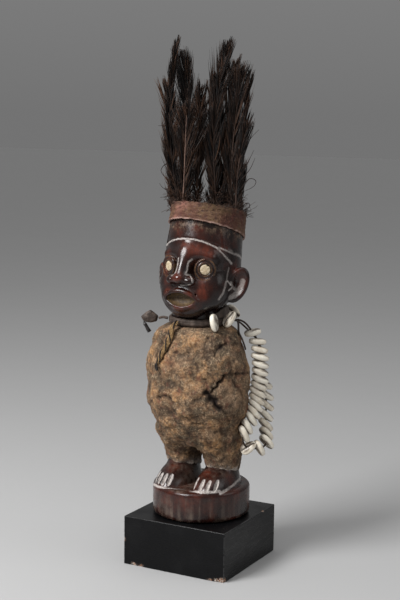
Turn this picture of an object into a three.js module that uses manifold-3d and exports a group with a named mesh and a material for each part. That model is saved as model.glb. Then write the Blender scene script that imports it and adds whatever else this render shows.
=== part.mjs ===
// A power figure carved from one block of wood: a round foot disc, two feet and
// legs, a body wrapped in a baked earth crust, and a polished head under a
// feathered hide crown. Millimetres, +Z up, the figure faces -Y, and the origin
// is the centre of the plinth's underside.
import * as THREE from "three";
import { mergeVertices } from "three/addons/utils/BufferGeometryUtils.js";
import Module from "manifold-3d";

const wasm = await Module();
wasm.setup();

// Driving dimensions
const GAP = 0.35;
const PLINTH = { side: 115, height: 50.5, bevel: 0.9 };
const DISC = { radius: 50, top: 82, topRound: 4, footRound: 2, sides: 26 };
const LEG = { x: 22.5, y: 5, radius: 16.5, top: 135 };
const FOOT = { x: 22.3, y: -6.5, z: 81, halfWidth: 20.4, halfLength: 35.5, rise: 21.5, rimRadius: 49,
  square: 2.8, ramp: 1.5 };
const TOE_GROOVES = { left: [11.8, 20.4, 27.1, 33.4], right: [-16.7, -22.4, -28, -33],
  lowZ: 84, highZ: 95.5, halfWidth: 2.2, depth: 2 };
const NECK = { y: -8, radius: 27, bottom: 240 };
const HEAD = { z: 305, y: -7, halfWidth: 37.4, halfDepth: 40, lean: 1.6, leanPivotZ: 255 };
const JAW = { frontZ: 258, frontY: -40, rise: 0.37, round: 20 };
const EYE = { x: 20, y: -37.6, z: 306.5, turn: 28, moundRadius: 12.5, ringRadius: 10.4,
  inlayRadius: 5.2, inlayThick: 1.6 };
// Rounded forms of the face: middle and half sizes; the brow is two ends and their radii
const CHEEK = [[21.5, -25, 287], [12, 12.5, 14]];
const MUZZLE = [[0, -38.6, 277.5], [25, 11.6, 15.5]];
const CHIN = [[0, -36, 265.5], [15, 8, 7.6]];
const ORBIT = [[20, -48, 307], [14.5, 12.5, 13]];
const BROW = [[5, -41, 320], [23.5, -33, 318], 4.2, 3.6];
const EAR = { x: 41.2, y: -8.8, leftZ: 290.3, rightZ: 287.4, halfWidth: 11.6, halfHeight: 17.8 };
const MOUTH = { z: 276.4, y: -49.8, halfWidth: 16.2, halfHeight: 9.2, lip: 2.3, depth: 9 };
const CAP = { halfWidth: 37.2, halfDepth: 41, taper: 0.075, y: -0.5, z: 335, rimZ: 319, rimFall: 0.41 };
const CROWN = { wall: 1.9, lowZ: 341, lowFall: 0.342, topZ: 363.6, topFall: 0.221, sink: 5.5, rim: 3,
  fitBelow: 4 };
const CARVED_TOP_Z = 350;
const CRUST_CORE_SHARE = 0.78;
// Height, half width seen from the front quarter and middle of the crusted body
const BODY = [
  [124, 24, -2], [130, 34, -3], [138, 42, -4], [150, 46.8, -6], [165, 51.6, -8],
  [188, 52, -8], [205, 50.3, -9.5], [222, 46.8, -11], [234, 43.5, -12], [241.5, 39.5, -12],
  [245.8, 34, -10], [247.6, 29.5, -8],
];
// Height, half width, half depth and middle of the crust round each leg
const SLEEVE = [
  [99, 17.3, 17.7, 5], [103, 18.2, 18.6, 4.6], [113, 19.4, 21.5, 2.6], [124, 21, 26.5, -0.8],
  [138, 23, 33, -4],
];
// Swellings of the crust: angle from the front, height, rise, angular and vertical spread
const SWELLINGS = [
  [72, 214, 2.4, 26, 13], [-68, 210, 2.0, 24, 16], [20, 176, 1.6, 26, 16], [-30, 150, 1.2, 20, 10],
  [52, 160, 1.2, 16, 12], [150, 200, 1.8, 30, 20], [-140, 170, 1.6, 34, 18], [180, 140, 1.2, 30, 14],
];
const COLLAR = { z: 248.2, height: 6.8, thick: 3.1 };
const COWRY = { length: 17.8, width: 11.6, thick: 5.8 };
const CORD = { diameter: 2, sides: 7, steps: 54, holeRadius: 2.45 };
// The picture plane of the crown's two feather bunches is turned from the face
const FAN_TURN = 28.3;

const COLOURS = {
  plinth: { color: 0x0b0b0d, roughness: 0.3, metalness: 0 },
  wood: { color: 0x2c1410, roughness: 0.32, metalness: 0 },
  crust: { color: 0x6d4f38, roughness: 0.9, metalness: 0 },
  hide: { color: 0x5a3326, roughness: 0.8, metalness: 0 },
  feather: { color: 0x14100f, roughness: 0.7, metalness: 0 },
  shell: { color: 0xe6dccb, roughness: 0.35, metalness: 0 },
  inlay: { color: 0xd8c9a6, roughness: 0.45, metalness: 0 },
  leather: { color: 0x3a2c28, roughness: 0.65, metalness: 0 },
  fibre: { color: 0xa3824f, roughness: 0.85, metalness: 0 },
  cord: { color: 0x1d1714, roughness: 0.85, metalness: 0 },
};
const materialOf = (key) => new THREE.MeshStandardMaterial(COLOURS[key]);

const radians = (degrees) => THREE.MathUtils.degToRad(degrees);
const vec = (x, y, z) => new THREE.Vector3(x, y, z);
const lerp = THREE.MathUtils.lerp;
// Corners nearer than this are one corner
const WELD = 1e-4;

// Closed meshes, as lofts of rings with the same number of points
function loft(rings) {
  const count = rings[0].length;
  const positions = rings.flat().flatMap((p) => [p.x, p.y, p.z]);
  const index = [];
  for (let r = 0; r + 1 < rings.length; r++) {
    for (let i = 0; i < count; i++) {
      const a = r * count + i;
      const b = r * count + (i + 1) % count;
      index.push(a, b, b + count, a, b + count, a + count);
    }
  }
  const ends = [[rings[0], 0, true], [rings.at(-1), (rings.length - 1) * count, false]];
  for (const [ring, first, turned] of ends) {
    const middle = ring.reduce((sum, p) => sum.add(p), vec(0, 0, 0)).divideScalar(count);
    const centre = positions.length / 3;
    positions.push(middle.x, middle.y, middle.z);
    for (let i = 0; i < count; i++) {
      const a = first + i;
      const b = first + (i + 1) % count;
      index.push(...(turned ? [b, a, centre] : [a, b, centre]));
    }
  }
  const geometry = new THREE.BufferGeometry();
  geometry.setAttribute("position", new THREE.Float32BufferAttribute(positions, 3));
  geometry.setIndex(index);
  return geometry;
}

function toSolid(geometry) {
  const bare = geometry.clone();
  for (const name of Object.keys(bare.attributes)) {
    if (name !== "position") {
      bare.deleteAttribute(name);
    }
  }
  const merged = mergeVertices(bare, WELD);
  const vertProperties = new Float32Array(merged.attributes.position.array);
  const triVerts = new Uint32Array(merged.index.array);
  return new wasm.Manifold(new wasm.Mesh({ numProp: 3, vertProperties, triVerts }));
}

function fromSolid(solid) {
  const mesh = solid.getMesh();
  const geometry = new THREE.BufferGeometry();
  geometry.setAttribute("position", new THREE.Float32BufferAttribute(mesh.vertProperties, 3));
  geometry.setIndex(Array.from(mesh.triVerts));
  return geometry;
}

const join = (...geometries) => fromSolid(geometries.map(toSolid).reduce((a, b) => a.add(b)));

function cut(geometry, ...tools) {
  return fromSolid(tools.map(toSolid).reduce((a, b) => a.subtract(b), toSolid(geometry)));
}

// Signed distances: negative inside
function smoothMin(a, b, k) {
  const h = Math.max(k - Math.abs(a - b), 0) / k;
  return Math.min(a, b) - h * h * k / 4;
}
const smoothMax = (a, b, k) => -smoothMin(-a, -b, k);

function ellipsoid(x, y, z, [cx, cy, cz], [rx, ry, rz]) {
  const [dx, dy, dz] = [(x - cx) / rx, (y - cy) / ry, (z - cz) / rz];
  const k0 = Math.hypot(dx, dy, dz);
  const k1 = Math.hypot(dx / rx, dy / ry, dz / rz);
  return k1 < 1e-9 ? -Math.min(rx, ry, rz) : k0 * (k0 - 1) / k1;
}

function ovalDistance(dx, dy, a, b) {
  const k0 = Math.hypot(dx / a, dy / b);
  const k1 = Math.hypot(dx / (a * a), dy / (b * b));
  return k1 < 1e-9 ? -Math.min(a, b) : k0 * (k0 - 1) / k1;
}

function capsule(x, y, z, [ax, ay, az], [bx, by, bz], ra, rb) {
  const [ex, ey, ez] = [bx - ax, by - ay, bz - az];
  const along = ((x - ax) * ex + (y - ay) * ey + (z - az) * ez) / (ex * ex + ey * ey + ez * ez);
  const t = Math.min(1, Math.max(0, along));
  return Math.hypot(x - ax - t * ex, y - ay - t * ey, z - az - t * ez) - lerp(ra, rb, t);
}

// The head, upright, before its slight lean to the figure's left
function headDistance(x, y, z) {
  const side = Math.abs(x);
  const above = Math.max(z - HEAD.z, 0);
  const middle = HEAD.y + 0.18 * above;
  let d = ovalDistance(x, y - middle, HEAD.halfWidth - 0.07 * above, HEAD.halfDepth - 0.04 * above);
  const underJaw = (JAW.frontZ + JAW.rise * (y - JAW.frontY) - z) / Math.hypot(1, JAW.rise);
  d = smoothMax(d, underJaw, JAW.round);
  d = smoothMin(d, ellipsoid(side, y, z, ...CHEEK), 9);
  d = smoothMin(d, ellipsoid(x, y, z, ...MUZZLE), 8);
  d = smoothMin(d, ellipsoid(x, y, z, ...CHIN), 6);
  d = smoothMin(d, capsule(side, y, z, ...BROW), 7);
  d = smoothMax(d, -ellipsoid(side, y, z, ...ORBIT), 5);
  d = smoothMin(d, eyeMound(side, y, z), 2);
  const neck = Math.hypot(x, y - NECK.y) - NECK.radius;
  const neckTop = Math.max(neck, z - 275);
  return Math.min(smoothMin(d, neckTop, 3), capDistance(x, y, z));
}

function eyeMound(side, y, z) {
  const [nx, ny] = [Math.sin(radians(EYE.turn)), -Math.cos(radians(EYE.turn))];
  const centre = [EYE.x - nx * EYE.moundRadius, EYE.y - ny * EYE.moundRadius];
  return Math.hypot(side - centre[0], y - centre[1], z - EYE.z) - EYE.moundRadius;
}

function capDistance(x, y, z) {
  const middle = CAP.y + 0.15 * (z - CAP.z);
  const drawnIn = CAP.taper * Math.max(0, z + CROWN.topFall * y - CAP.rimZ);
  const wall = ovalDistance(x, y - middle, CAP.halfWidth - drawnIn, CAP.halfDepth - drawnIn);
  const rim = (CAP.rimZ - CAP.rimFall * y - z) / Math.hypot(1, CAP.rimFall);
  const top = z - (CARVED_TOP_Z - CROWN.topFall * y);
  return Math.max(smoothMax(wall, rim, 3), top);
}

// The first surface met on the way in from outside, along one ray
function reach(distance, origin, direction, far) {
  const inside = (r) => distance(...origin.clone().addScaledVector(direction, r)) < 0;
  let outer = far;
  while (outer > 0 && !inside(outer - 0.5)) {
    outer -= 0.5;
  }
  let inner = outer - 0.5;
  for (let i = 0; i < 12; i++) {
    const middle = (inner + outer) / 2;
    if (inside(middle)) {
      inner = middle;
    } else {
      outer = middle;
    }
  }
  return (inner + outer) / 2;
}

const leanHead = (geometry) => geometry
  .translate(0, 0, -HEAD.leanPivotZ)
  .rotateY(radians(HEAD.lean))
  .translate(0, 0, HEAD.leanPivotZ);

// Angles of the head's columns, close together over the face; 0 is the front
const sideAngles = [7, 14, 21, 28, 36, 45, 56, 70, 90, 115, 146];
const HEAD_ANGLES = [...sideAngles.map((a) => -a).reverse(), 0, ...sideAngles, 180];
const evenAngles = (count) => Array.from({ length: count }, (_, i) => -180 + 360 * (i + 0.5) / count);
const heading = (angle) => [Math.sin(radians(angle)), -Math.cos(radians(angle))];

function ovalRadius(angle, a, b) {
  return 1 / Math.hypot(Math.sin(radians(angle)) / a, Math.cos(radians(angle)) / b);
}

// A ring of points about an upright axis, on a plane that rises by slope with y
function ringAt(angles, z, middleY, slope, radiusAt, x = 0) {
  return angles.map((angle) => {
    const [sx, sy] = heading(angle);
    const r = radiusAt(angle);
    return vec(x + sx * r, middleY + sy * r, z + slope * sy * r);
  });
}

// The cap draws in a little towards the top
function capRadius(angle, level) {
  const drawnIn = CAP.taper * (level - CAP.rimZ);
  return ovalRadius(angle, CAP.halfWidth - drawnIn, CAP.halfDepth - drawnIn);
}

function headBlock() {
  const rows = [246, 255.1, 259, 263, 268, 273, 278.5, 284, 290, 296, 301, 306, 311, 315.5, 318.6, 321.2,
    323.6, 342];
  const rings = rows.map((z) => {
    const low = THREE.MathUtils.smoothstep(z, 256, 270) * JAW.rise;
    const slope = z < 270 ? low : lerp(JAW.rise, -CAP.rimFall, Math.min(1, (z - 270) / 50));
    const middle = lerp(NECK.y, CAP.y, THREE.MathUtils.smoothstep(z, 270, 330));
    return ringAt(HEAD_ANGLES, z, middle, slope, (angle) => {
      const [sx, sy] = heading(angle);
      return reach(headDistance, vec(0, middle, z), vec(sx, sy, slope * sy), 66);
    });
  });
  const topMiddle = CAP.y + 0.15 * (CARVED_TOP_Z - CAP.z);
  rings.push(ringAt(HEAD_ANGLES, CARVED_TOP_Z - CROWN.topFall * topMiddle, topMiddle, -CROWN.topFall,
    (angle) => capRadius(angle, CARVED_TOP_Z)));
  return loft(rings);
}

// The nose: sections down from the bridge, as height, half width, front and back
const NOSE = [
  [322, 3.5, -43.5, -36], [314, 4.8, -48.5, -36], [306, 5.6, -53.5, -37], [300.5, 7.4, -58, -38],
  [297, 12.6, -59.2, -39], [293.5, 14, -57, -39], [290.5, 10.5, -53, -40],
];
const NOSE_TURNS = [-90, -62, -38, -16, 16, 38, 62, 90];

function nose() {
  return loft(NOSE.map(([z, half, front, back]) => {
    const depth = back - front;
    const wing = Math.max(0, half - 7) * 0.42;
    const arc = NOSE_TURNS.map((turn) => {
      const [s, c] = [Math.sin(radians(turn)), Math.cos(radians(turn))];
      return vec(half * s, back - depth * c ** 0.5 + wing * s * s * c, z);
    });
    return [...arc, vec(half * 0.7, back + 6, z), vec(-half * 0.7, back + 6, z)];
  }).reverse());
}

// A closed tube through a ring of points
function ringTube(points, radius, sides) {
  const middle = points.reduce((sum, p) => sum.add(p), vec(0, 0, 0)).divideScalar(points.length);
  const positions = [];
  points.forEach((p, i) => {
    const along = points[(i + 1) % points.length].clone().sub(points.at(i - 1)).normalize();
    const out = p.clone().sub(middle).addScaledVector(along, -p.clone().sub(middle).dot(along)).normalize();
    const up = along.clone().cross(out);
    for (let j = 0; j < sides; j++) {
      const turn = 2 * Math.PI * j / sides;
      const q = p.clone().addScaledVector(out, Math.cos(turn) * radius);
      positions.push(...q.addScaledVector(up, Math.sin(turn) * radius));
    }
  });
  const index = [];
  for (let i = 0; i < points.length; i++) {
    for (let j = 0; j < sides; j++) {
      const [a, b] = [i * sides + j, i * sides + (j + 1) % sides];
      const [c, d] = [(a + sides) % (positions.length / 3), (b + sides) % (positions.length / 3)];
      index.push(a, b, d, a, d, c);
    }
  }
  const geometry = new THREE.BufferGeometry();
  geometry.setAttribute("position", new THREE.Float32BufferAttribute(positions, 3));
  geometry.setIndex(index);
  return geometry;
}

// The lips follow the curve of the muzzle round the open mouth
function lips() {
  const count = 12;
  const points = Array.from({ length: count }, (_, i) => {
    const turn = 2 * Math.PI * i / count;
    const [x, z] = [MOUTH.halfWidth * Math.cos(turn), MOUTH.halfHeight * Math.sin(turn)];
    return vec(x, MOUTH.y + x * x / 130 - 0.19 * z, MOUTH.z + z);
  });
  return ringTube(points, MOUTH.lip, 5);
}

function mouth() {
  return new THREE.SphereGeometry(1, 10, 6)
    .scale(MOUTH.halfWidth - 1.6, MOUTH.depth, MOUTH.halfHeight - 1.6)
    .translate(0, MOUTH.y - 1.5, MOUTH.z);
}

// An ear: a flared shell set on edge, hollowed inside its rolled rim
function ear(side) {
  const count = 12;
  const centre = vec(EAR.x * side, EAR.y, side > 0 ? EAR.leftZ : EAR.rightZ);
  const outward = vec(0.777 * side, 0.629, 0);
  const front = vec(0.629 * side, -0.777, 0);
  const steps = [[0.7, -4.5], [0.98, -2.2], [1, 0.8], [0.9, 2.6], [0.75, 2.5], [0.64, -0.8]];
  const rings = steps.map(([scale, depth]) => Array.from({ length: count }, (_, i) => {
    const turn = -2 * Math.PI * i / count * side;
    const s = Math.sign(Math.cos(turn)) * Math.abs(Math.cos(turn)) ** 0.85 * EAR.halfWidth * scale;
    const t = Math.sin(turn) * EAR.halfHeight * scale;
    const lean = s + t * 0.24;
    return centre.clone().addScaledVector(outward, lean).addScaledVector(front, depth).add(vec(0, 0, t));
  }));
  return loft(rings.reverse());
}

function eyeFrame(side, out) {
  const normal = vec(Math.sin(radians(EYE.turn)) * side, -Math.cos(radians(EYE.turn)), 0);
  const matrix = new THREE.Matrix4().makeBasis(vec(0, 0, 1).cross(normal), vec(0, 0, 1), normal);
  matrix.setPosition(EYE.x * side + normal.x * out, EYE.y + normal.y * out, EYE.z);
  return matrix;
}

function eyeDisc(side, radius, thick, out) {
  const disc = new THREE.CylinderGeometry(radius * 0.9, radius, thick, 12);
  disc.rotateX(Math.PI / 2).applyMatrix4(eyeFrame(side, out));
  return leanHead(disc);
}

function footDistance(x, y, z) {
  const f = Math.abs((x - FOOT.x) / FOOT.halfWidth) ** FOOT.square
    + Math.abs((y - FOOT.y) / FOOT.halfLength) ** FOOT.ramp
    + Math.abs((z - FOOT.z) / FOOT.rise) ** FOOT.ramp;
  const dome = smoothMax((f ** 0.6 - 1) * FOOT.halfWidth, Math.hypot(x, y) - FOOT.rimRadius, 2);
  const leg = Math.hypot(x - LEG.x, y - LEG.y) - LEG.radius;
  return smoothMin(dome, leg, 6);
}

const FOOT_ANGLES = [-172, -142, -112, -84, -62, -44, -28, -13, 2, 17, 32, 48, 68, 94, 122, 154];

function legAndFoot(extra, fromZ) {
  const rows = [77, 84, 88, 92, 96, 100, 105, LEG.top + extra].filter((z) => z >= fromZ);
  return loft(rows.map((z) => ringAt(FOOT_ANGLES, z, LEG.y, 0, (angle) => {
    const [sx, sy] = heading(angle);
    return reach(footDistance, vec(LEG.x, LEG.y, z), vec(sx, sy, 0), 60) + extra;
  }, LEG.x)));
}

// A toe gap: a lozenge laid up the foot's sloping front
function toeGroove(x) {
  const frontAt = (z) => {
    const start = vec(Math.abs(x), FOOT.y, z);
    return vec(x, FOOT.y - reach(footDistance, start, vec(0, -1, 0), FOOT.halfLength + 2), z);
  };
  const { lowZ, highZ } = TOE_GROOVES;
  const [a, middle, b] = [lowZ, (lowZ + highZ) / 2, highZ].map(frontAt);
  const normal = vec(0, -(b.z - a.z), b.y - a.y).normalize();
  const corners = [
    a, middle.clone().addScaledVector(normal, TOE_GROOVES.depth * 0.8), b,
    middle.clone().addScaledVector(normal, -TOE_GROOVES.depth),
    middle.clone().add(vec(-TOE_GROOVES.halfWidth, 0, 0)),
    middle.clone().add(vec(TOE_GROOVES.halfWidth, 0, 0)),
  ];
  const geometry = new THREE.BufferGeometry().setFromPoints(corners);
  geometry.setIndex([0, 1, 4, 1, 2, 4, 2, 3, 4, 3, 0, 4, 1, 0, 5, 2, 1, 5, 3, 2, 5, 0, 3, 5]);
  return geometry;
}

function mirrored(geometry) {
  const copy = geometry.clone().scale(-1, 1, 1);
  const index = Array.from(copy.index.array);
  for (let i = 0; i < index.length; i += 3) {
    [index[i], index[i + 1]] = [index[i + 1], index[i]];
  }
  copy.setIndex(index);
  return copy;
}

// The crusted body's section at one height: half width, half depth and middle
function bodyAt(z) {
  const above = BODY.findIndex((row) => row[0] > z);
  const i = above < 0 ? BODY.length - 2 : Math.max(0, above - 1);
  const t = Math.min(1, Math.max(0, (z - BODY[i][0]) / (BODY[i + 1][0] - BODY[i][0])));
  const half = lerp(BODY[i][1], BODY[i + 1][1], t);
  return { a: half * 1.03, b: half * 0.9, y: lerp(BODY[i][2], BODY[i + 1][2], t) };
}

function swelling(angle, z) {
  return SWELLINGS.reduce((sum, [at, height, rise, wide, tall]) => {
    const turn = ((angle - at + 540) % 360) - 180;
    return sum + rise * Math.exp(-((turn / wide) ** 2) - ((z - height) / tall) ** 2);
  }, 0);
}

function crustRadius(angle, z) {
  const { a, b } = bodyAt(z);
  return ovalRadius(angle, a, b) + swelling(angle, z) - 0.8;
}

const BODY_ANGLES = evenAngles(20);
const CORE_ANGLES = evenAngles(12);
const SLEEVE_ANGLES = evenAngles(14);
const NECK_ANGLES = evenAngles(16);

function bodyCore(extra) {
  const rows = [[128, 0.7], [147, CRUST_CORE_SHARE], [205, CRUST_CORE_SHARE], [238, 0.72]];
  const rings = rows.map(([z, share]) => ringAt(CORE_ANGLES, z, bodyAt(z).y, 0,
    (angle) => ovalRadius(angle, bodyAt(z).a, bodyAt(z).b) * share + extra));
  rings.push(ringAt(CORE_ANGLES, 248, NECK.y, 0, () => NECK.radius - 3 + extra));
  rings[0].forEach((p) => p.setZ(p.z - extra));
  return loft(rings);
}

function neckPlug(extra) {
  const corner = (NECK.radius + extra) / Math.cos(Math.PI / NECK_ANGLES.length);
  return loft([NECK.bottom, 252].map((z) => ringAt(NECK_ANGLES, z, NECK.y, 0, () => corner)));
}

function crustCoat() {
  const rows = [124, 130, 138, 149, 163, 178, 194, 210, 224, 235, 241.5, 245.8, 247.6];
  const trunk = loft(rows.map((z) => ringAt(BODY_ANGLES, z, bodyAt(z).y, 0,
    (angle) => crustRadius(angle, z))));
  const sleeve = loft(SLEEVE.map(([z, wide, deep, y]) => ringAt(SLEEVE_ANGLES, z, y, 0,
    (angle) => ovalRadius(angle, wide, deep) + 0.4 * Math.sin(radians(angle * 3) + z), LEG.x)));
  const solid = join(trunk, sleeve, mirrored(sleeve));
  const leg = legAndFoot(GAP, 96);
  return cut(solid, leg, mirrored(leg), bodyCore(GAP), neckPlug(GAP));
}

function footDisc() {
  const bottom = PLINTH.height + 0.3;
  const { radius, top, topRound, footRound } = DISC;
  const profile = [
    [0, bottom], [radius - footRound, bottom], [radius, bottom + footRound], [radius, top - topRound],
    [radius - 0.3 * topRound, top - 0.3 * topRound], [radius - topRound, top], [0, top],
  ].map(([r, z]) => new THREE.Vector2(r, z));
  return new THREE.LatheGeometry(profile, DISC.sides).rotateX(Math.PI / 2);
}

function carvedFigure() {
  const leg = legAndFoot(0, 0);
  const rims = [1, -1].map((side) => eyeDisc(side, EYE.ringRadius, 4, -0.9));
  const face = cut(join(headBlock(), nose(), lips()), mouth());
  const head = join(leanHead(join(face, ear(1), ear(-1))), ...rims);
  const whole = join(footDisc(), leg, mirrored(leg), bodyCore(0), head);
  const grooves = [...TOE_GROOVES.left, ...TOE_GROOVES.right].map(toeGroove);
  const sockets = [1, -1].map((side) => eyeDisc(side, EYE.inlayRadius + GAP, 3.4, 0.6));
  return cut(whole, ...grooves, ...sockets);
}

function plinth() {
  const { side, height, bevel } = PLINTH;
  const square = new THREE.Shape();
  const half = side / 2 - bevel;
  square.moveTo(-half, -half).lineTo(half, -half).lineTo(half, half).lineTo(-half, half);
  const block = new THREE.ExtrudeGeometry(square, {
    depth: height - 2 * bevel, bevelEnabled: true, bevelThickness: bevel, bevelSize: bevel,
    bevelSegments: 1,
  });
  block.translate(0, 0, bevel).deleteAttribute("normal").deleteAttribute("uv");
  return mergeVertices(block, WELD);
}

// The crown: a hide band round the cap, filled with crust that holds the quills
function crownRing(z, fall, grow) {
  const middle = CAP.y + 0.15 * (z - CAP.z);
  const level = Math.min(z, CARVED_TOP_Z) - CROWN.fitBelow;
  return ringAt(HEAD_ANGLES, z - fall * middle, middle, -fall, (angle) => capRadius(angle, level) + grow);
}

function crownBand(quills) {
  const hollowTop = CARVED_TOP_Z + GAP;
  const fill = CROWN.topZ - CROWN.sink;
  const shell = loft([
    crownRing(hollowTop, CROWN.topFall, GAP),
    crownRing(CROWN.lowZ, CROWN.lowFall, GAP), crownRing(CROWN.lowZ, CROWN.lowFall, CROWN.wall),
    crownRing(CROWN.topZ, CROWN.topFall, CROWN.wall), crownRing(CROWN.topZ, CROWN.topFall, -CROWN.rim),
    crownRing(fill, CROWN.topFall, -CROWN.rim - 1),
  ]);
  return cut(leanHead(shell), ...quills);
}

// Feathers: name, base and tip across the fan, depth, tip height, bend, width and twist
const FEATHERS = [
  ["feather_left_tall", -25, -30, 10, 525, -9, 9, 12],
  ["feather_left_broad", -19, -24, -2, 515, 5, 15, -8],
  ["feather_left_brown", -31, -41, -2, 486, -2, 10, 20],
  ["feather_left_front", -22, -19, 14, 462, 0, 17, -6],
  ["feather_middle_left", -10, -4, 4, 484, 2, 9, 10],
  ["feather_middle_right", 5, 1, -6, 503, -3, 8, -12],
  ["feather_right_tall", 13, 20, 6, 524, -10, 14, 8],
  ["feather_right_brown", 19, 28, -8, 506, -5, 14, -10],
  ["feather_right_upper", 27, 36, 4, 499, -4, 12, 14],
  ["feather_right_outer", 35, 43, -8, 494, -2, 7, -6],
  ["feather_right_low", 31, 46, 14, 453, -6, 11, 6],
];
const FEATHER_THICK = 1.5;
const QUILL_HALF = 1.1;

function fanPoint(across, depth, z) {
  const [s, c] = [Math.sin(radians(FAN_TURN)), Math.cos(radians(FAN_TURN))];
  return vec(across * c + depth * s, across * s - depth * c, z);
}

// The crown's filling slopes down towards the back, and each quill stands 5 mm in it
function quillFoot(across, depth) {
  const point = fanPoint(across, depth, 0);
  return CROWN.topZ - CROWN.sink - CROWN.topFall * point.y - 5;
}

function featherRings(across, tipAcross, depth, tipZ, bend, width, twist) {
  const footZ = quillFoot(across, depth);
  const turn = radians(FAN_TURN + twist);
  const flat = vec(Math.cos(turn), Math.sin(turn), 0);
  const thick = vec(Math.sin(turn), -Math.cos(turn), 0);
  const stations = [[0, 0], [0.09, 0.1], [0.14, 0.5], [0.32, 0.88], [0.6, 1], [0.88, 0.66], [1, 0.12]];
  return stations.map(([t, share]) => {
    const shift = lerp(across, tipAcross, t) + bend * Math.sin(Math.PI * t);
    const middle = fanPoint(shift, depth, lerp(footZ, tipZ, t));
    const half = Math.max(QUILL_HALF, width / 2 * share);
    const deep = Math.max(0.35, Math.min(QUILL_HALF, FEATHER_THICK / 2 * (1.5 - t)));
    return [[half, 0], [0, deep], [-half, 0], [0, -deep]].map(([s, d]) => middle.clone()
      .addScaledVector(flat, s).addScaledVector(thick, -d));
  });
}

function quillSocket(rings) {
  const grow = (ring, z) => {
    const middle = ring.reduce((sum, p) => sum.add(p), vec(0, 0, 0)).divideScalar(ring.length);
    return ring.map((p) => p.clone().sub(middle).multiplyScalar(1.5).add(middle).setZ(z));
  };
  return loft([grow(rings[0], rings[0][0].z - 0.5), grow(rings[1], rings[1][0].z)]);
}

// The highest corners of a six-sided section stand at this share of its radius
const SIX_SIDED_RISE = Math.sin(Math.PI / 3);

// Cowries: flattened shells with the back cut off, long axis along local X
function cowry(holeAxis) {
  const { length, width, thick } = COWRY;
  const rows = [[-1, 0.2], [-0.55, 0.86], [0.25, 1], [1, 0.26]];
  const shell = loft(rows.map(([along, share]) => Array.from({ length: 6 }, (_, i) => {
    const turn = 2 * Math.PI * i / 6;
    const [halfWidth, halfThick] = [share * width / 2, share * thick / 2];
    return vec(along * length / 2, Math.cos(turn) * halfWidth, Math.sin(turn) * halfThick / SIX_SIDED_RISE);
  })));
  if (!holeAxis) {
    return shell;
  }
  const hole = new THREE.CylinderGeometry(CORD.holeRadius, CORD.holeRadius, 24, 4);
  hole.applyQuaternion(new THREE.Quaternion().setFromUnitVectors(vec(0, 1, 0), holeAxis));
  return cut(shell, hole);
}

// The strand's cord, chosen point by point: from the collar over the left
// shoulder, down the side, round, and up again behind
const STRAND = [
  [29.4, 7, 251.4], [35, 10.6, 251.2], [39.5, 15.5, 248], [44.6, 20, 240], [50, 21.5, 231.5],
  [53.6, 20.5, 224], [55.5, 18.5, 216], [56.8, 17, 208.5], [57.4, 16, 200.5], [57.6, 15.5, 193],
  [57.2, 14.5, 186], [56.6, 13, 179], [56.6, 11, 171.5], [56.8, 7.6, 164.5], [56.4, 4, 158],
  [55.2, -0.6, 151.5], [53.6, -7, 142.5], [52.6, -11, 134.5], [54.4, -8.5, 127.5], [60, 0, 124],
  [65, 9, 124], [65.6, 17, 127], [62, 23.5, 134.5], [59.1, 27.5, 143.5], [57.3, 31.3, 153],
  [56.1, 34.5, 162], [54.3, 36.3, 171.5], [52.8, 37.5, 180.5], [51.6, 38.2, 190], [50.6, 38.8, 199],
  [49.2, 39.5, 208], [46.4, 40.2, 218], [41.1, 39.5, 228], [33, 35, 238], [25.5, 27.5, 246.8],
  [20.6, 17.6, 250.6],
].map(([x, y, z]) => vec(x, y, z));
const strandCurve = new THREE.CatmullRomCurve3(STRAND, false, "centripetal");

// Shells on the strand: distance along the cord and tilt of the long axis
const STRAND_LEAD = 6.6;
const STRAND_ROLL = 15;
const STRAND_SHELLS = [
  ["side", 20.5, 12], ["side", 31, -4], ["side", 39.5, -14], ["side", 47, -14], ["side", 54.5, -18],
  ["side", 61.8, -22], ["side", 69, -24], ["side", 75.8, -28], ["side", 82.6, -32], ["side", 89.6, -37],
  ["side", 96.6, -42], ["side", 103.6, -48], ["side", 110.8, -55], ["side", 120, -62],
  ["side", 128.2, -64], ["bottom", 146, 35], ["bottom", 159, -60], ["back", 173, -46],
  ["back", 182.5, -46], ["back", 192, -44], ["back", 202, -42], ["back", 212.5, -38],
  ["back", 223, -34], ["back", 233.5, -28],
];

function strandShell(distance, tilt) {
  const t = (distance + STRAND_LEAD) / strandCurve.getLength();
  const centre = strandCurve.getPointAt(t);
  const tangent = strandCurve.getTangentAt(t);
  const long = fanPoint(Math.cos(radians(tilt)), 0, Math.sin(radians(tilt)));
  // The flat faces look along the cord as far as the long axis lets them
  const square = tangent.clone().addScaledVector(long, -tangent.dot(long)).normalize();
  const front = long.clone().cross(square);
  front.multiplyScalar(Math.sign(front.dot(fanPoint(0, 1, 0))) * Math.sign(square.z));
  // The upper faces lean towards the front quarter, so that the shells lap
  const thin = square.multiplyScalar(Math.cos(radians(STRAND_ROLL)))
    .addScaledVector(front, Math.sin(radians(STRAND_ROLL)));
  const wide = thin.clone().cross(long);
  const basis = new THREE.Matrix4().makeBasis(long, wide, thin);
  const hole = vec(tangent.dot(long), tangent.dot(wide), tangent.dot(thin)).normalize();
  const mesh = new THREE.Mesh(cowry(hole), materialOf("shell"));
  mesh.applyMatrix4(basis.setPosition(centre));
  return mesh;
}

function looseShell(x, y, z, tilt, turn, roll) {
  const mesh = new THREE.Mesh(cowry(null), materialOf("shell"));
  mesh.rotation.set(radians(roll), radians(-tilt), radians(turn), "ZYX");
  mesh.position.set(x, y, z);
  return mesh;
}

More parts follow.
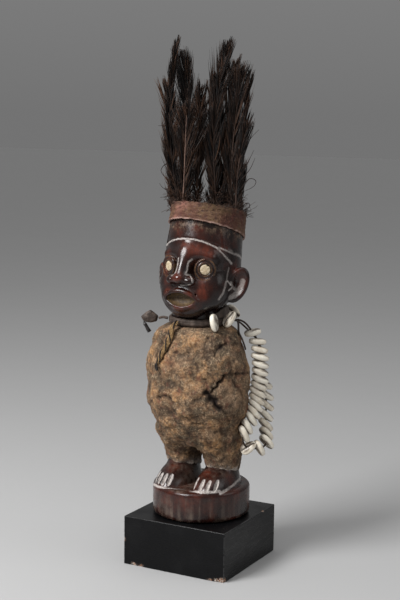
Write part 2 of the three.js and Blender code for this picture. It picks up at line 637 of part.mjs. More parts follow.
function strandCord() {
  const circle = new THREE.Shape();
  for (let i = 0; i < CORD.sides; i++) {
    const turn = 2 * Math.PI * i / CORD.sides;
    const [x, y] = [Math.cos(turn) * CORD.diameter / 2, Math.sin(turn) * CORD.diameter / 2];
    if (i === 0) {
      circle.moveTo(x, y);
    } else {
      circle.lineTo(x, y);
    }
  }
  return new THREE.ExtrudeGeometry(circle, {
    steps: CORD.steps, extrudePath: strandCurve, bevelEnabled: false,
  });
}

// Leather and fibre: strips and bundles laid along a few points on the surface
function strip(points, widths, thick, outwardFrom) {
  const rings = points.map((p, i) => {
    const ahead = points[Math.min(i + 1, points.length - 1)];
    const behind = points[Math.max(i - 1, 0)];
    const along = ahead.clone().sub(behind).normalize();
    const out = p.clone().sub(outwardFrom(p)).normalize();
    const across = along.clone().cross(out).normalize();
    const lift = across.clone().cross(along).normalize();
    const [w, h] = [widths[i] / 2, thick / 2];
    return [[-w, -h], [-w * 0.9, h], [w * 0.9, h], [w, -h]].map(([s, d]) => p.clone()
      .addScaledVector(across, s).addScaledVector(lift, d));
  });
  return loft(rings);
}

const STRAP_THICK = 1.6;
const TWIST_THICK = 3.4;
// Straps on the body face away from its axis and a little upwards
const bodyAxis = (p) => vec(0, bodyAt(p.z).y, p.z - 12);

function onCrust(angle, z, lift) {
  const [sx, sy] = heading(angle);
  const r = crustRadius(angle, z) + lift;
  return vec(sx * r, bodyAt(z).y + sy * r, z);
}

function collar() {
  const { z, height, thick } = COLLAR;
  const ring = (level, grow) => ringAt(NECK_ANGLES, level, NECK.y, 0,
    (angle) => NECK.radius + grow + 0.3 * Math.sin(radians(angle * 2)));
  const corner = (NECK.radius + GAP) / Math.cos(Math.PI / NECK_ANGLES.length);
  const inner = (level) => ringAt(NECK_ANGLES, level, NECK.y, 0, () => corner);
  const outer = loft([ring(z, thick), ring(z + height / 2, thick + 0.8), ring(z + height, thick - 0.8)]);
  return cut(outer, loft([inner(z - 2), inner(z + height + 2)]));
}

// A hide flap that stands round the left of the neck and rises under the ear
function neckFlap() {
  const angles = [50, 62, 74, 86, 98, 110, 124];
  const tops = [258, 261, 264, 266.5, 267.5, 266, 260];
  const base = COLLAR.z + COLLAR.height + GAP;
  return loft(angles.map((angle, i) => {
    const [sx, sy] = heading(angle);
    const at = (r, z) => vec(sx * r, NECK.y + sy * r, z);
    const [inner, outer] = [NECK.radius + GAP + 0.3, NECK.radius + 2.4];
    return [at(inner, tops[i]), at(outer, tops[i]), at(outer + 0.2, base), at(inner, base)];
  }));
}

function leatherPacket() {
  const outline = [[-9, 0], [-6, -5], [1, -6], [7, -4.5], [8.5, 1], [4, 4.5], [0.5, 7], [-4, 4.5]];
  const layers = [[-3, 0.6], [-1.6, 1], [1.6, 1], [3, 0.6]];
  return loft(layers.map(([depth, share]) => outline.map(
    ([s, t]) => fanPoint(s * share, depth, t * share))));
}

// The packet's small tube hangs slantwise below it
const TUBE = { topRadius: 1.7, footRadius: 2.1, length: 10, lean: 30 };

function tube() {
  const straight = new THREE.CylinderGeometry(TUBE.topRadius, TUBE.footRadius, TUBE.length, 8);
  return straight.rotateX(Math.PI / 2).rotateY(radians(-TUBE.lean)).rotateZ(radians(FAN_TURN));
}

const group = new THREE.Group();
group.name = "power_figure";

function place(name, geometry, look) {
  const mesh = new THREE.Mesh(geometry, materialOf(look));
  mesh.name = name;
  group.add(mesh);
  return mesh;
}

place("plinth", plinth(), "plinth");
place("carved_figure", carvedFigure(), "wood");
place("earth_crust", crustCoat(), "crust");
place("eye_inlay_left", eyeDisc(1, EYE.inlayRadius, EYE.inlayThick, 0.3), "inlay");
place("eye_inlay_right", eyeDisc(-1, EYE.inlayRadius, EYE.inlayThick, 0.3), "inlay");

const featherSolids = FEATHERS.map(([name, ...sizes]) => [name, featherRings(...sizes)]);
place("crown_band", crownBand(featherSolids.map(([, rings]) => quillSocket(rings))), "hide");
featherSolids.forEach(([name, rings]) => place(name, loft(rings), "feather"));

place("neck_collar", collar(), "leather");
place("neck_flap", neckFlap(), "leather");
const strapPoints = [
  vec(30.3, 3.9, 252), vec(35.6, 6.4, 250.4),
  ...[[113, 240], [114, 231], [115, 222]].map(([angle, z]) => onCrust(angle, z, 1.7)),
];
place("shoulder_strap", strip(strapPoints, [4, 4, 4, 3.6, 3], STRAP_THICK, bodyAxis), "leather");
const packetAt = vec(-45.2, -26.8, 248.7);
place("leather_packet", leatherPacket(), "leather").position.copy(packetAt);
place("packet_tube", tube(), "leather").position.copy(packetAt.clone().add(fanPoint(-2.8, 0, -11.2)));
const thongPoints = [vec(-28.4, -22.6, 252), vec(-33, -24.2, 252.8), vec(-37.4, -23.8, 251.8)];
const straightBelow = (p) => p.clone().add(vec(0, 0, -10));
place("packet_thong", strip(thongPoints, [3.4, 3.2, 3], STRAP_THICK, straightBelow), "leather");
const twistPoints = [
  vec(-6.5, -40.5, 252.5), vec(-9, -48, 248),
  ...[[-14, 239], [-18, 229], [-24, 219], [-29, 208]].map(([angle, z]) => onCrust(angle, z, 3.6)),
];
place("fibre_twist", strip(twistPoints, [4, 6, 7, 6, 5.4, 3.4], TWIST_THICK, bodyAxis), "fibre");

place("strand_cord", strandCord(), "cord");
const counts = {};
STRAND_SHELLS.forEach(([run, distance, tilt]) => {
  counts[run] = (counts[run] ?? 0) + 1;
  const mesh = strandShell(distance, tilt);
  mesh.name = `cowry_${run}_${counts[run]}`;
  group.add(mesh);
});
[
  ["cowry_neck_front", looseShell(29.2, -31.6, 253.4, -80, FAN_TURN, 20)],
  ["cowry_neck_side", looseShell(36.6, -13.4, 255.4, 55, FAN_TURN, 40)],
  ["cowry_neck_back", looseShell(26.5, 13.5, 258.4, -35, FAN_TURN, 80)],
].forEach(([name, mesh]) => {
  mesh.name = name;
  group.add(mesh);
});

export default group;
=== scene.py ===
"""The dressed model of a carved power figure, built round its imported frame.

Metres in Blender, millimetres in the shape functions, +Z up. The figure faces
-Y, so its own left is +X. Angles round the body start at the front and grow
towards the figure's left.
"""

import logging
import math
from dataclasses import dataclass, field
from enum import Enum
from typing import Callable, Sequence

import bpy
import numpy as np
from mathutils import Matrix, Vector
from mathutils.bvhtree import BVHTree


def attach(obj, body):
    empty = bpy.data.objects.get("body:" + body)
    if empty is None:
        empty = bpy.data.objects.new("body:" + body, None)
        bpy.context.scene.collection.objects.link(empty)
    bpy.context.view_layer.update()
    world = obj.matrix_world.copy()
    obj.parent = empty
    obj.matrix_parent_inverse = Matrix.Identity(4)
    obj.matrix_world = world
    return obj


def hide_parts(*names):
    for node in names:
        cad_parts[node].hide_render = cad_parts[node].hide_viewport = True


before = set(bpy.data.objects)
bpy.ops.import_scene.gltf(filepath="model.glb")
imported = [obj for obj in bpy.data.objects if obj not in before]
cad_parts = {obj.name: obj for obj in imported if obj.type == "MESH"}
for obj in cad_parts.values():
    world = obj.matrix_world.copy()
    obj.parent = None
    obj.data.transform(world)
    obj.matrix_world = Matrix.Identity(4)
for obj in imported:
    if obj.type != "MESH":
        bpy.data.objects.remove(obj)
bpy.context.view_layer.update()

LOG = logging.getLogger("power_figure")
MM = 0.001
BODY = "root"

# Degrees and millimetres that several pieces share
FRONT_TURN = 28.3
RIM_LEVEL = 319
RIM_FALL = 0.41
CAP_HALF = (37.2, 41)
CAP_TAPER = 0.075
TOP_FALL = 0.221
CROWN_TOP = 363.6
FILL_DEPTH = 5.5

Array = np.ndarray
Field = Callable[[Array, Array, Array], Array]
Material, Socket, Thing = bpy.types.Material, bpy.types.NodeSocket, bpy.types.Object


# Number helpers


def smooth_min(a: Array, b: Array, k: float) -> Array:
    """Joins two signed distances with a fillet of about k millimetres."""
    h = np.maximum(k - np.abs(a - b), 0) / k
    return np.minimum(a, b) - h * h * k / 4


def smooth_max(a: Array, b: Array, k: float) -> Array:
    """Cuts one signed distance by another with a rounded edge."""
    return -smooth_min(-a, -b, k)


def step_up(x: Array, low: float, high: float) -> Array:
    """Rises smoothly from 0 at low to 1 at high."""
    t = held((x - low) / (high - low))
    return t * t * (3 - 2 * t)


def bell(x: Array, width: float) -> Array:
    """A bump of height 1 at 0 that fades over width."""
    return np.exp(-((x / width) ** 2))


def held(x: Array) -> Array:
    """Numbers kept from 0 to 1."""
    return np.clip(x, 0, 1)


def unit(v: Array) -> Array:
    """Directions of length 1, along the last axis."""
    return v / np.maximum(np.linalg.norm(v, axis=-1, keepdims=True), 1e-9)


def turns(count: int) -> Array:
    """Angles once round, in radians, without the last."""
    return 2 * np.pi * np.arange(count) / count


def cos_sin(degrees: float) -> tuple[float, float]:
    """Cosine and sine of an angle in degrees."""
    return math.cos(math.radians(degrees)), math.sin(math.radians(degrees))


def outward(azimuth: float, elevation: float) -> Array:
    """The direction at an angle round from the front and an angle up, in degrees."""
    (level, rise), (c, s) = cos_sin(elevation), cos_sin(azimuth)
    return np.array([s * level, -c * level, rise])


def ellipsoid(x: Array, y: Array, z: Array, centre: Sequence[float], half: Sequence[float]) -> Array:
    """Signed distance, close to the surface, of an upright ellipsoid.

    Args:
        x, y, z: Places.
        centre: Its middle.
        half: Its half axes.

    Returns:
        The distances.
    """
    dx, dy, dz = (x - centre[0]) / half[0], (y - centre[1]) / half[1], (z - centre[2]) / half[2]
    k0 = np.sqrt(dx**2 + dy**2 + dz**2)
    k1 = np.sqrt((dx / half[0]) ** 2 + (dy / half[1]) ** 2 + (dz / half[2]) ** 2)
    return k0 * (k0 - 1) / np.maximum(k1, 1e-6)


def oval(dx: Array, dy: Array, a: Array, b: Array) -> Array:
    """Signed distance, close to the edge, of an oval with half axes a and b.

    Args:
        dx, dy: Places from its middle.
        a, b: Its half axes.

    Returns:
        The distances.
    """
    k0 = np.hypot(dx / a, dy / b)
    k1 = np.hypot(dx / a**2, dy / b**2)
    return k0 * (k0 - 1) / np.maximum(k1, 1e-6)


def capsule(x: Array, y: Array, z: Array, start: Sequence[float], end: Sequence[float],
            radii: Sequence[float]) -> Array:
    """Signed distance of a tapering rod between two points.

    Args:
        x, y, z: Places.
        start, end: Its ends.
        radii: Its radius at each end.

    Returns:
        The distances.
    """
    ex, ey, ez = (end[k] - start[k] for k in range(3))
    along = ((x - start[0]) * ex + (y - start[1]) * ey + (z - start[2]) * ez) / (ex**2 + ey**2 + ez**2)
    t = held(along)
    gap = (x - start[0] - t * ex) ** 2 + (y - start[1] - t * ey) ** 2 + (z - start[2] - t * ez) ** 2
    return np.sqrt(gap) - (radii[0] + t * (radii[1] - radii[0]))


def oval_radius(angle: Array, a: Array, b: Array) -> Array:
    """Distance from the middle of an oval to its edge, at an angle from the front in radians."""
    return 1 / np.hypot(np.sin(angle) / a, np.cos(angle) / b)


def almond(x: Array, z: Array, half_across: float, half_up: float) -> Array:
    """Signed distance of a lens-shaped outline with slightly rounded ends.

    Args:
        x, z: Places from its middle.
        half_across, half_up: Its half sizes.

    Returns:
        The distances.
    """
    radius = (half_across**2 + half_up**2) / (2 * half_up)
    shift = radius - half_up
    return smooth_max(np.hypot(x, z + shift) - radius, np.hypot(x, z - shift) - radius, 3)


class Noise:
    """Smooth random relief that gives the same values on every run."""

    def __init__(self, seed: int) -> None:
        """Makes the lattice.

        Args:
            seed: Chooses the pattern.
        """
        rng = np.random.default_rng(seed)
        self.order = rng.permutation(256)
        self.slopes = unit(rng.normal(size=(256, 3)))

    def at(self, x: Array, y: Array, z: Array) -> Array:
        """One layer of relief.

        Args:
            x, y, z: Places, in lattice cells.

        Returns:
            Heights from about -1 to 1.
        """
        x, y, z = np.broadcast_arrays(x, y, z)
        cells = [np.floor(v).astype(int) for v in (x, y, z)]
        parts = [v - c for v, c in zip((x, y, z), cells)]
        fades = [p * p * p * (p * (p * 6 - 15) + 10) for p in parts]
        total = np.zeros(x.shape)
        for corner in range(8):
            bits = [(corner >> k) & 1 for k in range(3)]
            h = self.order[(cells[0] + bits[0]) & 255]
            h = self.order[(h + cells[1] + bits[1]) & 255]
            h = self.order[(h + cells[2] + bits[2]) & 255]
            weight = np.ones(x.shape)
            for bit, fade in zip(bits, fades):
                weight = weight * (fade if bit else 1 - fade)
            dot = sum(self.slopes[h, k] * (parts[k] - bits[k]) for k in range(3))
            total += weight * dot
        return total * 1.6

    def around(self, turn: Array, size: float, height: Array | float = 0) -> Array:
        """The noise on a ring of a size, for its angles, at a height."""
        return self.at(np.sin(turn) * size, np.cos(turn) * size, turn * 0 + height)

    def layers(self, points: Array, size: float, count: int, gain: float = 0.5) -> Array:
        """Several layers of relief, each half the size of the last.

        Args:
            points: Places in millimetres, one row each.
            size: Size of the largest lumps, in millimetres.
            count: How many layers.
            gain: Height of each layer compared with the one before.

        Returns:
            One height for each place.
        """
        total, height, scale = np.zeros(len(points)), 1.0, 1.0 / size
        for layer in range(count):
            shift = 17.3 * layer
            total += height * self.at(*(points * scale + shift).T)
            height, scale = height * gain, scale * 2
        return total


# Mesh helpers


@dataclass
class Shape:
    """Points in millimetres and the faces between them."""

    points: Array
    faces: list

    def joined(self, other: "Shape") -> "Shape":
        """This shape and another as one."""
        shifted = [[i + len(self.points) for i in face] for face in other.faces]
        return Shape(np.vstack([self.points, other.points]), list(self.faces) + shifted)

    def normals(self) -> Array:
        """A unit normal for each point, from the faces round it.

        Returns:
            One direction for each point.
        """
        quads = np.array([(*f[:3], f[-1]) for f in self.faces if len(f) in (3, 4)])
        p = self.points[quads]
        face_normals = np.cross(p[:, 2] - p[:, 0], p[:, 3] - p[:, 1])
        total = np.zeros_like(self.points)
        for k in range(4):
            np.add.at(total, quads[:, k], face_normals)
        return unit(total)


def surface_net(values: Array, axes: Sequence[Array]) -> Shape:
    """The surface where a field on a grid crosses zero.

    Args:
        values: The field, negative inside.
        axes: The grid's x, y and z levels.

    Returns:
        A closed mesh of quads that face outwards.
    """
    cells = np.array(values.shape) - 1
    quads, places = [], []
    for axis in range(3):
        low, high = [slice(None)] * 3, [slice(None)] * 3
        low[axis], high[axis] = slice(None, -1), slice(1, None)
        a, b = values[tuple(low)], values[tuple(high)]
        index = np.argwhere((a < 0) != (b < 0))
        va, vb = a[tuple(index.T)], b[tuple(index.T)]
        place = np.stack([axes[k][index[:, k]] for k in range(3)], 1).astype(float)
        place[:, axis] += va / (va - vb) * (axes[axis][index[:, axis] + 1] - axes[axis][index[:, axis]])
        u, w = (axis + 1) % 3, (axis + 2) % 3
        corners = []
        for du, dw in ((0, 0), (1, 0), (1, 1), (0, 1)):
            cell = index.copy()
            cell[:, u] -= du
            cell[:, w] -= dw
            corners.append(np.ravel_multi_index(tuple(cell.T), tuple(cells)))
        quad = np.stack(corners, 1)
        quad[va > 0] = quad[va > 0][:, ::-1]
        quads.append(quad)
        places.append(place)
    faces, points = np.vstack(quads), np.repeat(np.vstack(places), 4, axis=0)
    _, inverse = np.unique(faces.ravel(), return_inverse=True)
    counts = np.bincount(inverse)
    middle = np.stack([np.bincount(inverse, weights=points[:, k]) / counts for k in range(3)], 1)
    return Shape(middle, inverse.reshape(-1, 4).tolist())


def settle(points: Array, distance: Field, rounds: int = 2, limit: float = 0.4) -> Array:
    """Moves points onto the surface of a field.

    Args:
        points: Places near the surface.
        distance: The field.
        rounds: How many steps.
        limit: The furthest that one step may move a point.

    Returns:
        The moved points.
    """
    step = 0.08
    for _ in range(rounds):
        here = distance(*points.T)
        slope = np.stack([distance(*(points + step * np.eye(3)[k]).T) - here for k in range(3)], 1) / step
        size = np.maximum((slope**2).sum(1, keepdims=True), 0.25)
        points = points - np.clip(here[:, None] * slope / size, -limit, limit)
    return points


def bundle(paths: Array, widths: Array, thicks: Array, normals: Array | list, sides: int) -> Shape:
    """Closed tubes along many paths at once.

    Args:
        paths: Centre lines, as (tube, station, 3).
        widths: Half widths across each normal, as (tube, station) or one number.
        thicks: Half thicknesses along each normal, in the same way.
        normals: Directions that the tubes' thickness follows, broadcast to the paths.
        sides: Points round each ring.

    Returns:
        One mesh with every tube.
    """
    count, stations = paths.shape[:2]
    tangent = unit(np.gradient(paths, axis=1))
    side = unit(np.cross(tangent, np.broadcast_to(normals, paths.shape)))
    lift = np.cross(side, tangent)
    turn = turns(sides)
    widths, thicks = (np.broadcast_to(half, paths.shape[:2]) for half in (widths, thicks))
    ring = paths[:, :, None] + side[:, :, None] * (np.cos(turn)[:, None] * widths[:, :, None, None])
    ring = ring + lift[:, :, None] * (np.sin(turn)[:, None] * thicks[:, :, None, None])
    base = np.arange(count)[:, None, None] * stations * sides + np.arange(stations - 1)[None, :, None] * sides
    a = base + np.arange(sides)
    b = base + (np.arange(sides) + 1) % sides
    quads = np.stack([a, b, b + sides, a + sides], 3).reshape(-1, 4)
    starts = np.arange(count)[:, None] * stations * sides + np.arange(sides)[::-1]
    ends = np.arange(count)[:, None] * stations * sides + (stations - 1) * sides + np.arange(sides)
    return Shape(ring.reshape(-1, 3), quads.tolist() + starts.tolist() + ends.tolist())


def lofted(rings: Array, closed: bool = False) -> Shape:
    """A mesh through rings of points, with its ends filled.

    Args:
        rings: Points, as (ring, point, 3).
        closed: Whether the last ring joins the first instead.

    Returns:
        The closed mesh.
    """
    count, sides = rings.shape[:2]
    base = np.arange(count if closed else count - 1)[:, None] * sides
    a, b = base + np.arange(sides), base + (np.arange(sides) + 1) % sides
    total = count * sides
    quads = np.stack([a, b, (b + sides) % total, (a + sides) % total], 2).reshape(-1, 4)
    points, faces = rings.reshape(-1, 3), quads.tolist()
    if closed:
        return Shape(points, faces)
    ends = np.array([rings[0].mean(0), rings[-1].mean(0)])
    first, last = total, total + 1
    for j in range(sides):
        k = (j + 1) % sides
        faces.append([k, j, first])
        faces.append([total - sides + j, total - sides + k, last])
    return Shape(np.vstack([points, ends]), faces)


def layered(parts: Sequence[tuple], names: Sequence[str]) -> tuple[Shape, dict]:
    """Joins shapes that come with a number, or one for each point, for each named mask.

    Args:
        parts: For each shape, the shape and its numbers in the order of the names.
        names: What the finish calls the masks.

    Returns:
        The joined shape, and its masks by name.
    """
    shape = parts[0][0]
    for part in parts[1:]:
        shape = shape.joined(part[0])
    masks = {}
    for index, name in enumerate(names, 1):
        masks[name] = np.concatenate([np.broadcast_to(part[index], len(part[0].points)) for part in parts])
    return shape, masks


def carried(path: Array, start: Array) -> Array:
    """Directions across a path that turn with it and never twist round it.

    Args:
        path: Points along the path.
        start: The direction at its first point.

    Returns:
        One unit direction for each point.
    """
    result, current = [], np.array(start, float)
    for t in unit(np.gradient(path, axis=0)):
        current = unit(current - t * (current @ t))
        result.append(current)
    return np.array(result)


def frame_along(line: Array, facing: Array) -> tuple[Array, Array]:
    """Directions across a line and out of it towards a side, for each of its points.

    Args:
        line: Its points.
        facing: The side, once or for each point.

    Returns:
        The directions across and the directions out.
    """
    tangent = np.gradient(line, axis=0)
    side = unit(np.cross(tangent, facing))
    return side, unit(np.cross(side, tangent))


def gone_along(line: Array) -> Array:
    """How far along a line each of its points is."""
    return np.concatenate([[0], np.cumsum(np.linalg.norm(np.diff(line, axis=0), axis=1))])


def through(points: Sequence[Sequence[float]], count: int) -> Array:
    """A smooth line through a few points.

    Args:
        points: The places on the line.
        count: How many points to return, evenly far apart.

    Returns:
        The line.
    """
    p = np.array(points, float)
    p = np.vstack([2 * p[0] - p[1], p, 2 * p[-1] - p[-2]])
    line = []
    for i in range(1, len(p) - 2):
        knots = np.sqrt(np.linalg.norm(np.diff(p[i - 1 : i + 3], axis=0), axis=1))
        d0, d1, d2 = np.maximum(knots, 1e-6)
        m1 = ((p[i] - p[i - 1]) / d0 - (p[i + 1] - p[i - 1]) / (d0 + d1) + (p[i + 1] - p[i]) / d1) * d1
        m2 = ((p[i + 1] - p[i]) / d1 - (p[i + 2] - p[i]) / (d1 + d2) + (p[i + 2] - p[i + 1]) / d2) * d1
        t = np.linspace(0, 1, 40, endpoint=i == len(p) - 3)[:, None]
        a, b = 2 * t**3 - 3 * t**2 + 1, t**3 - 2 * t**2 + t
        line.append(a * p[i] + b * m1 + (1 - a) * p[i + 1] + (t**3 - t**2) * m2)
    line = np.vstack(line)
    gone = gone_along(line)
    even = np.linspace(0, gone[-1], count)
    return np.stack([np.interp(even, gone, line[:, k]) for k in range(3)], 1)


def placed(name: str, data: bpy.types.ID) -> Thing:
    """A new object in the scene.

    Args:
        name: Its name.
        data: Its mesh, light or camera.

    Returns:
        The object.
    """
    made = bpy.data.objects.new(name, data)
    bpy.context.scene.collection.objects.link(made)
    return made


def piece(name: str, shape: Shape, material: Material, masks: dict | None = None,
          replaced: Sequence[str] = ()) -> Thing:
    """Makes one piece of the figure, riding on its body.

    Args:
        name: The piece's name.
        shape: Its mesh, in millimetres.
        material: Its finish.
        masks: Numbers for each point that the finish reads, by name.
        replaced: The CAD nodes that it stands for.

    Returns:
        The new object.
    """
    mesh = bpy.data.meshes.new(name)
    mesh.from_pydata((shape.points * MM).tolist(), [], shape.faces)
    mesh.shade_smooth()
    mesh.materials.append(material)
    for mask, numbers in (masks or {}).items():
        mesh.attributes.new(mask, "FLOAT", "POINT").data.foreach_set("value", np.asarray(numbers, np.float32))
    made = placed(name, mesh)
    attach(made, BODY)
    if replaced:
        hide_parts(*replaced)
    LOG.info("%s: %d faces", name, len(shape.faces))
    return made


def thinned(shape: Shape, share: float) -> Shape:
    """The same surface with fewer faces, most of them gone from its flat parts.

    Args:
        shape: The mesh.
        share: The share of triangles to keep.

    Returns:
        The lighter mesh.
    """
    mesh = bpy.data.meshes.new("thinning")
    mesh.from_pydata(shape.points.tolist(), [], shape.faces)
    made = placed("thinning", mesh)
    made.modifiers.new("thin", "DECIMATE").ratio = share
    light = made.evaluated_get(bpy.context.evaluated_depsgraph_get()).to_mesh()
    points = np.zeros(len(light.vertices) * 3)
    light.vertices.foreach_get("co", points)
    faces = [list(f.vertices) for f in light.polygons]
    bpy.data.objects.remove(made)
    bpy.data.meshes.remove(mesh)
    return Shape(points.reshape(-1, 3), faces)


# The camera and what is placed by its view


@dataclass(frozen=True)
class Lens:
    """The camera that took in the figure, found from the plinth's and the disc's edges."""

    place: tuple = (614.0, -1146.9, 456.9)
    azimuth: float = 28.321
    elevation: float = 8.184
    roll: float = 0.765
    focal: float = 78.0
    sensor: float = 36.0
    pixels_focal: float = 1300.0
    width: int = 400
    height: int = 600

    def frame(self) -> Array:
        """The camera's right, up and back directions, as rows.

        Returns:
            One direction in each row.
        """
        back = outward(self.azimuth, self.elevation)
        level = np.array([*cos_sin(self.azimuth), 0])
        above = np.cross(back, level)
        c, s = cos_sin(self.roll)
        return np.array([c * level + s * above, c * above - s * level, back])

    def build(self) -> None:
        """Makes the camera and gives it to the scene."""
        data = bpy.data.cameras.new("camera")
        data.lens = self.focal
        data.sensor_width = self.sensor
        data.clip_start, data.clip_end = 0.05, 20
        made = placed("camera", data)
        matrix = Matrix(self.frame().T.tolist()).to_4x4()
        matrix.translation = Vector(self.place) * MM
        made.matrix_world = matrix
        bpy.context.scene.camera = made

    def ray(self, across: float, down: float) -> Array:
        """The direction of one point of the picture, in its pixels.

        Args:
            across, down: The point in pixels.

        Returns:
            A direction of length 1.
        """
        right, up, back = self.frame()
        way = (across - self.width / 2) * right - (down - self.height / 2) * up - self.pixels_focal * back
        return unit(way)

    def on(self, tree: BVHTree, marks: Sequence[Sequence[float]]) -> Array:
        """The places where points of the picture fall on a surface.

        Args:
            tree: The surface.
            marks: The points, in the picture's pixels.

        Returns:
            Their places in millimetres, without those that miss.
        """
        hits = [tree.ray_cast(Vector(self.place), Vector(self.ray(*mark[:2])))[0] for mark in marks]
        return np.array([tuple(h) for h in hits if h is not None])


LENS = Lens()


def tree_of(shape: Shape) -> BVHTree:
    """A search tree over a mesh, in millimetres."""
    return BVHTree.FromPolygons(shape.points.tolist(), shape.faces)


def near_line(points: Array, line: Array) -> Array:
    """The distance of each point from a line of straight pieces.

    Args:
        points: Places in millimetres.
        line: The ends of its pieces.

    Returns:
        The distances, or a very large number for points far off.
    """
    best = np.full(len(points), 1e6)
    low, high = line.min(0) - 15, line.max(0) + 15
    close = np.all((points > low) & (points < high), axis=1)
    part = points[close]
    found = best[close]
    for a, b in zip(line[:-1], line[1:]):
        edge = b - a
        t = held((part - a) @ edge / max(edge @ edge, 1e-9))
        found = np.minimum(found, np.linalg.norm(part - a - t[:, None] * edge, axis=1))
    best[close] = found
    return best


@dataclass(frozen=True)
class Stroke:
    """A line drawn on a surface, by its points in the picture's pixels."""

    marks: tuple
    width: float = 2.0
    strength: float = 1.0
    mirrored: bool = False

    def mask(self, points: Array, tree: BVHTree, waver: Array) -> Array:
        """How much of the stroke each point takes.

        Args:
            points: The surface's points.
            tree: The surface.
            waver: A small change of distance for each point, so that the edge is uneven.

        Returns:
            Numbers from 0 to the stroke's strength.
        """
        line = LENS.on(tree, self.filled())
        if len(line) < 2:
            return np.zeros(len(points))
        away = near_line(points, line)
        if self.mirrored:
            away = np.minimum(away, near_line(points, line * np.array([-1, 1, 1])))
        half = self.width / 2
        return self.strength * (1 - step_up(away + waver, half * 0.75, half * 1.25))

    def filled(self) -> list:
        """The stroke's points with more between them.

        Returns:
            The points, in pixels.
        """
        marks = np.array(self.marks, float)
        result = [marks[0]]
        for a, b in zip(marks[:-1], marks[1:]):
            count = max(2, int(np.linalg.norm(b - a) / 1.2))
            result += [a + (b - a) * t for t in np.linspace(0, 1, count + 1)[1:]]
        return [tuple(m) for m in result]


@dataclass(frozen=True)
class Patch:
    """A soft spot on a surface, by its middle in the picture's pixels."""

    across: float
    down: float
    radius: float
    strength: float = 1.0
    mirrored: bool = False

    def mask(self, points: Array, tree: BVHTree) -> Array:
        """How much of the spot each point takes.

        Args:
            points: The surface's points.
            tree: The surface.

        Returns:
            Numbers from 0 to the spot's strength.
        """
        middle = LENS.on(tree, [(self.across, self.down)])
        if len(middle) == 0:
            return np.zeros(len(points))
        away = np.linalg.norm(points - middle[0], axis=1)
        if self.mirrored:
            away = np.minimum(away, np.linalg.norm(points - middle[0] * np.array([-1, 1, 1]), axis=1))
        return self.strength * bell(away, self.radius)


def patches(spots: Sequence[tuple], points: Array, tree: BVHTree) -> Array:
    """The strongest of several soft spots, each given as a Patch's numbers."""
    return np.max([Patch(*spot).mask(points, tree) for spot in spots], axis=0)


def strokes(lines: Sequence[tuple], points: Array, tree: BVHTree, waver: Array) -> Array:
    """The strongest of several strokes, each given as a Stroke's numbers."""
    return np.max([Stroke(*line).mask(points, tree, waver) for line in lines], axis=0)


# The carving


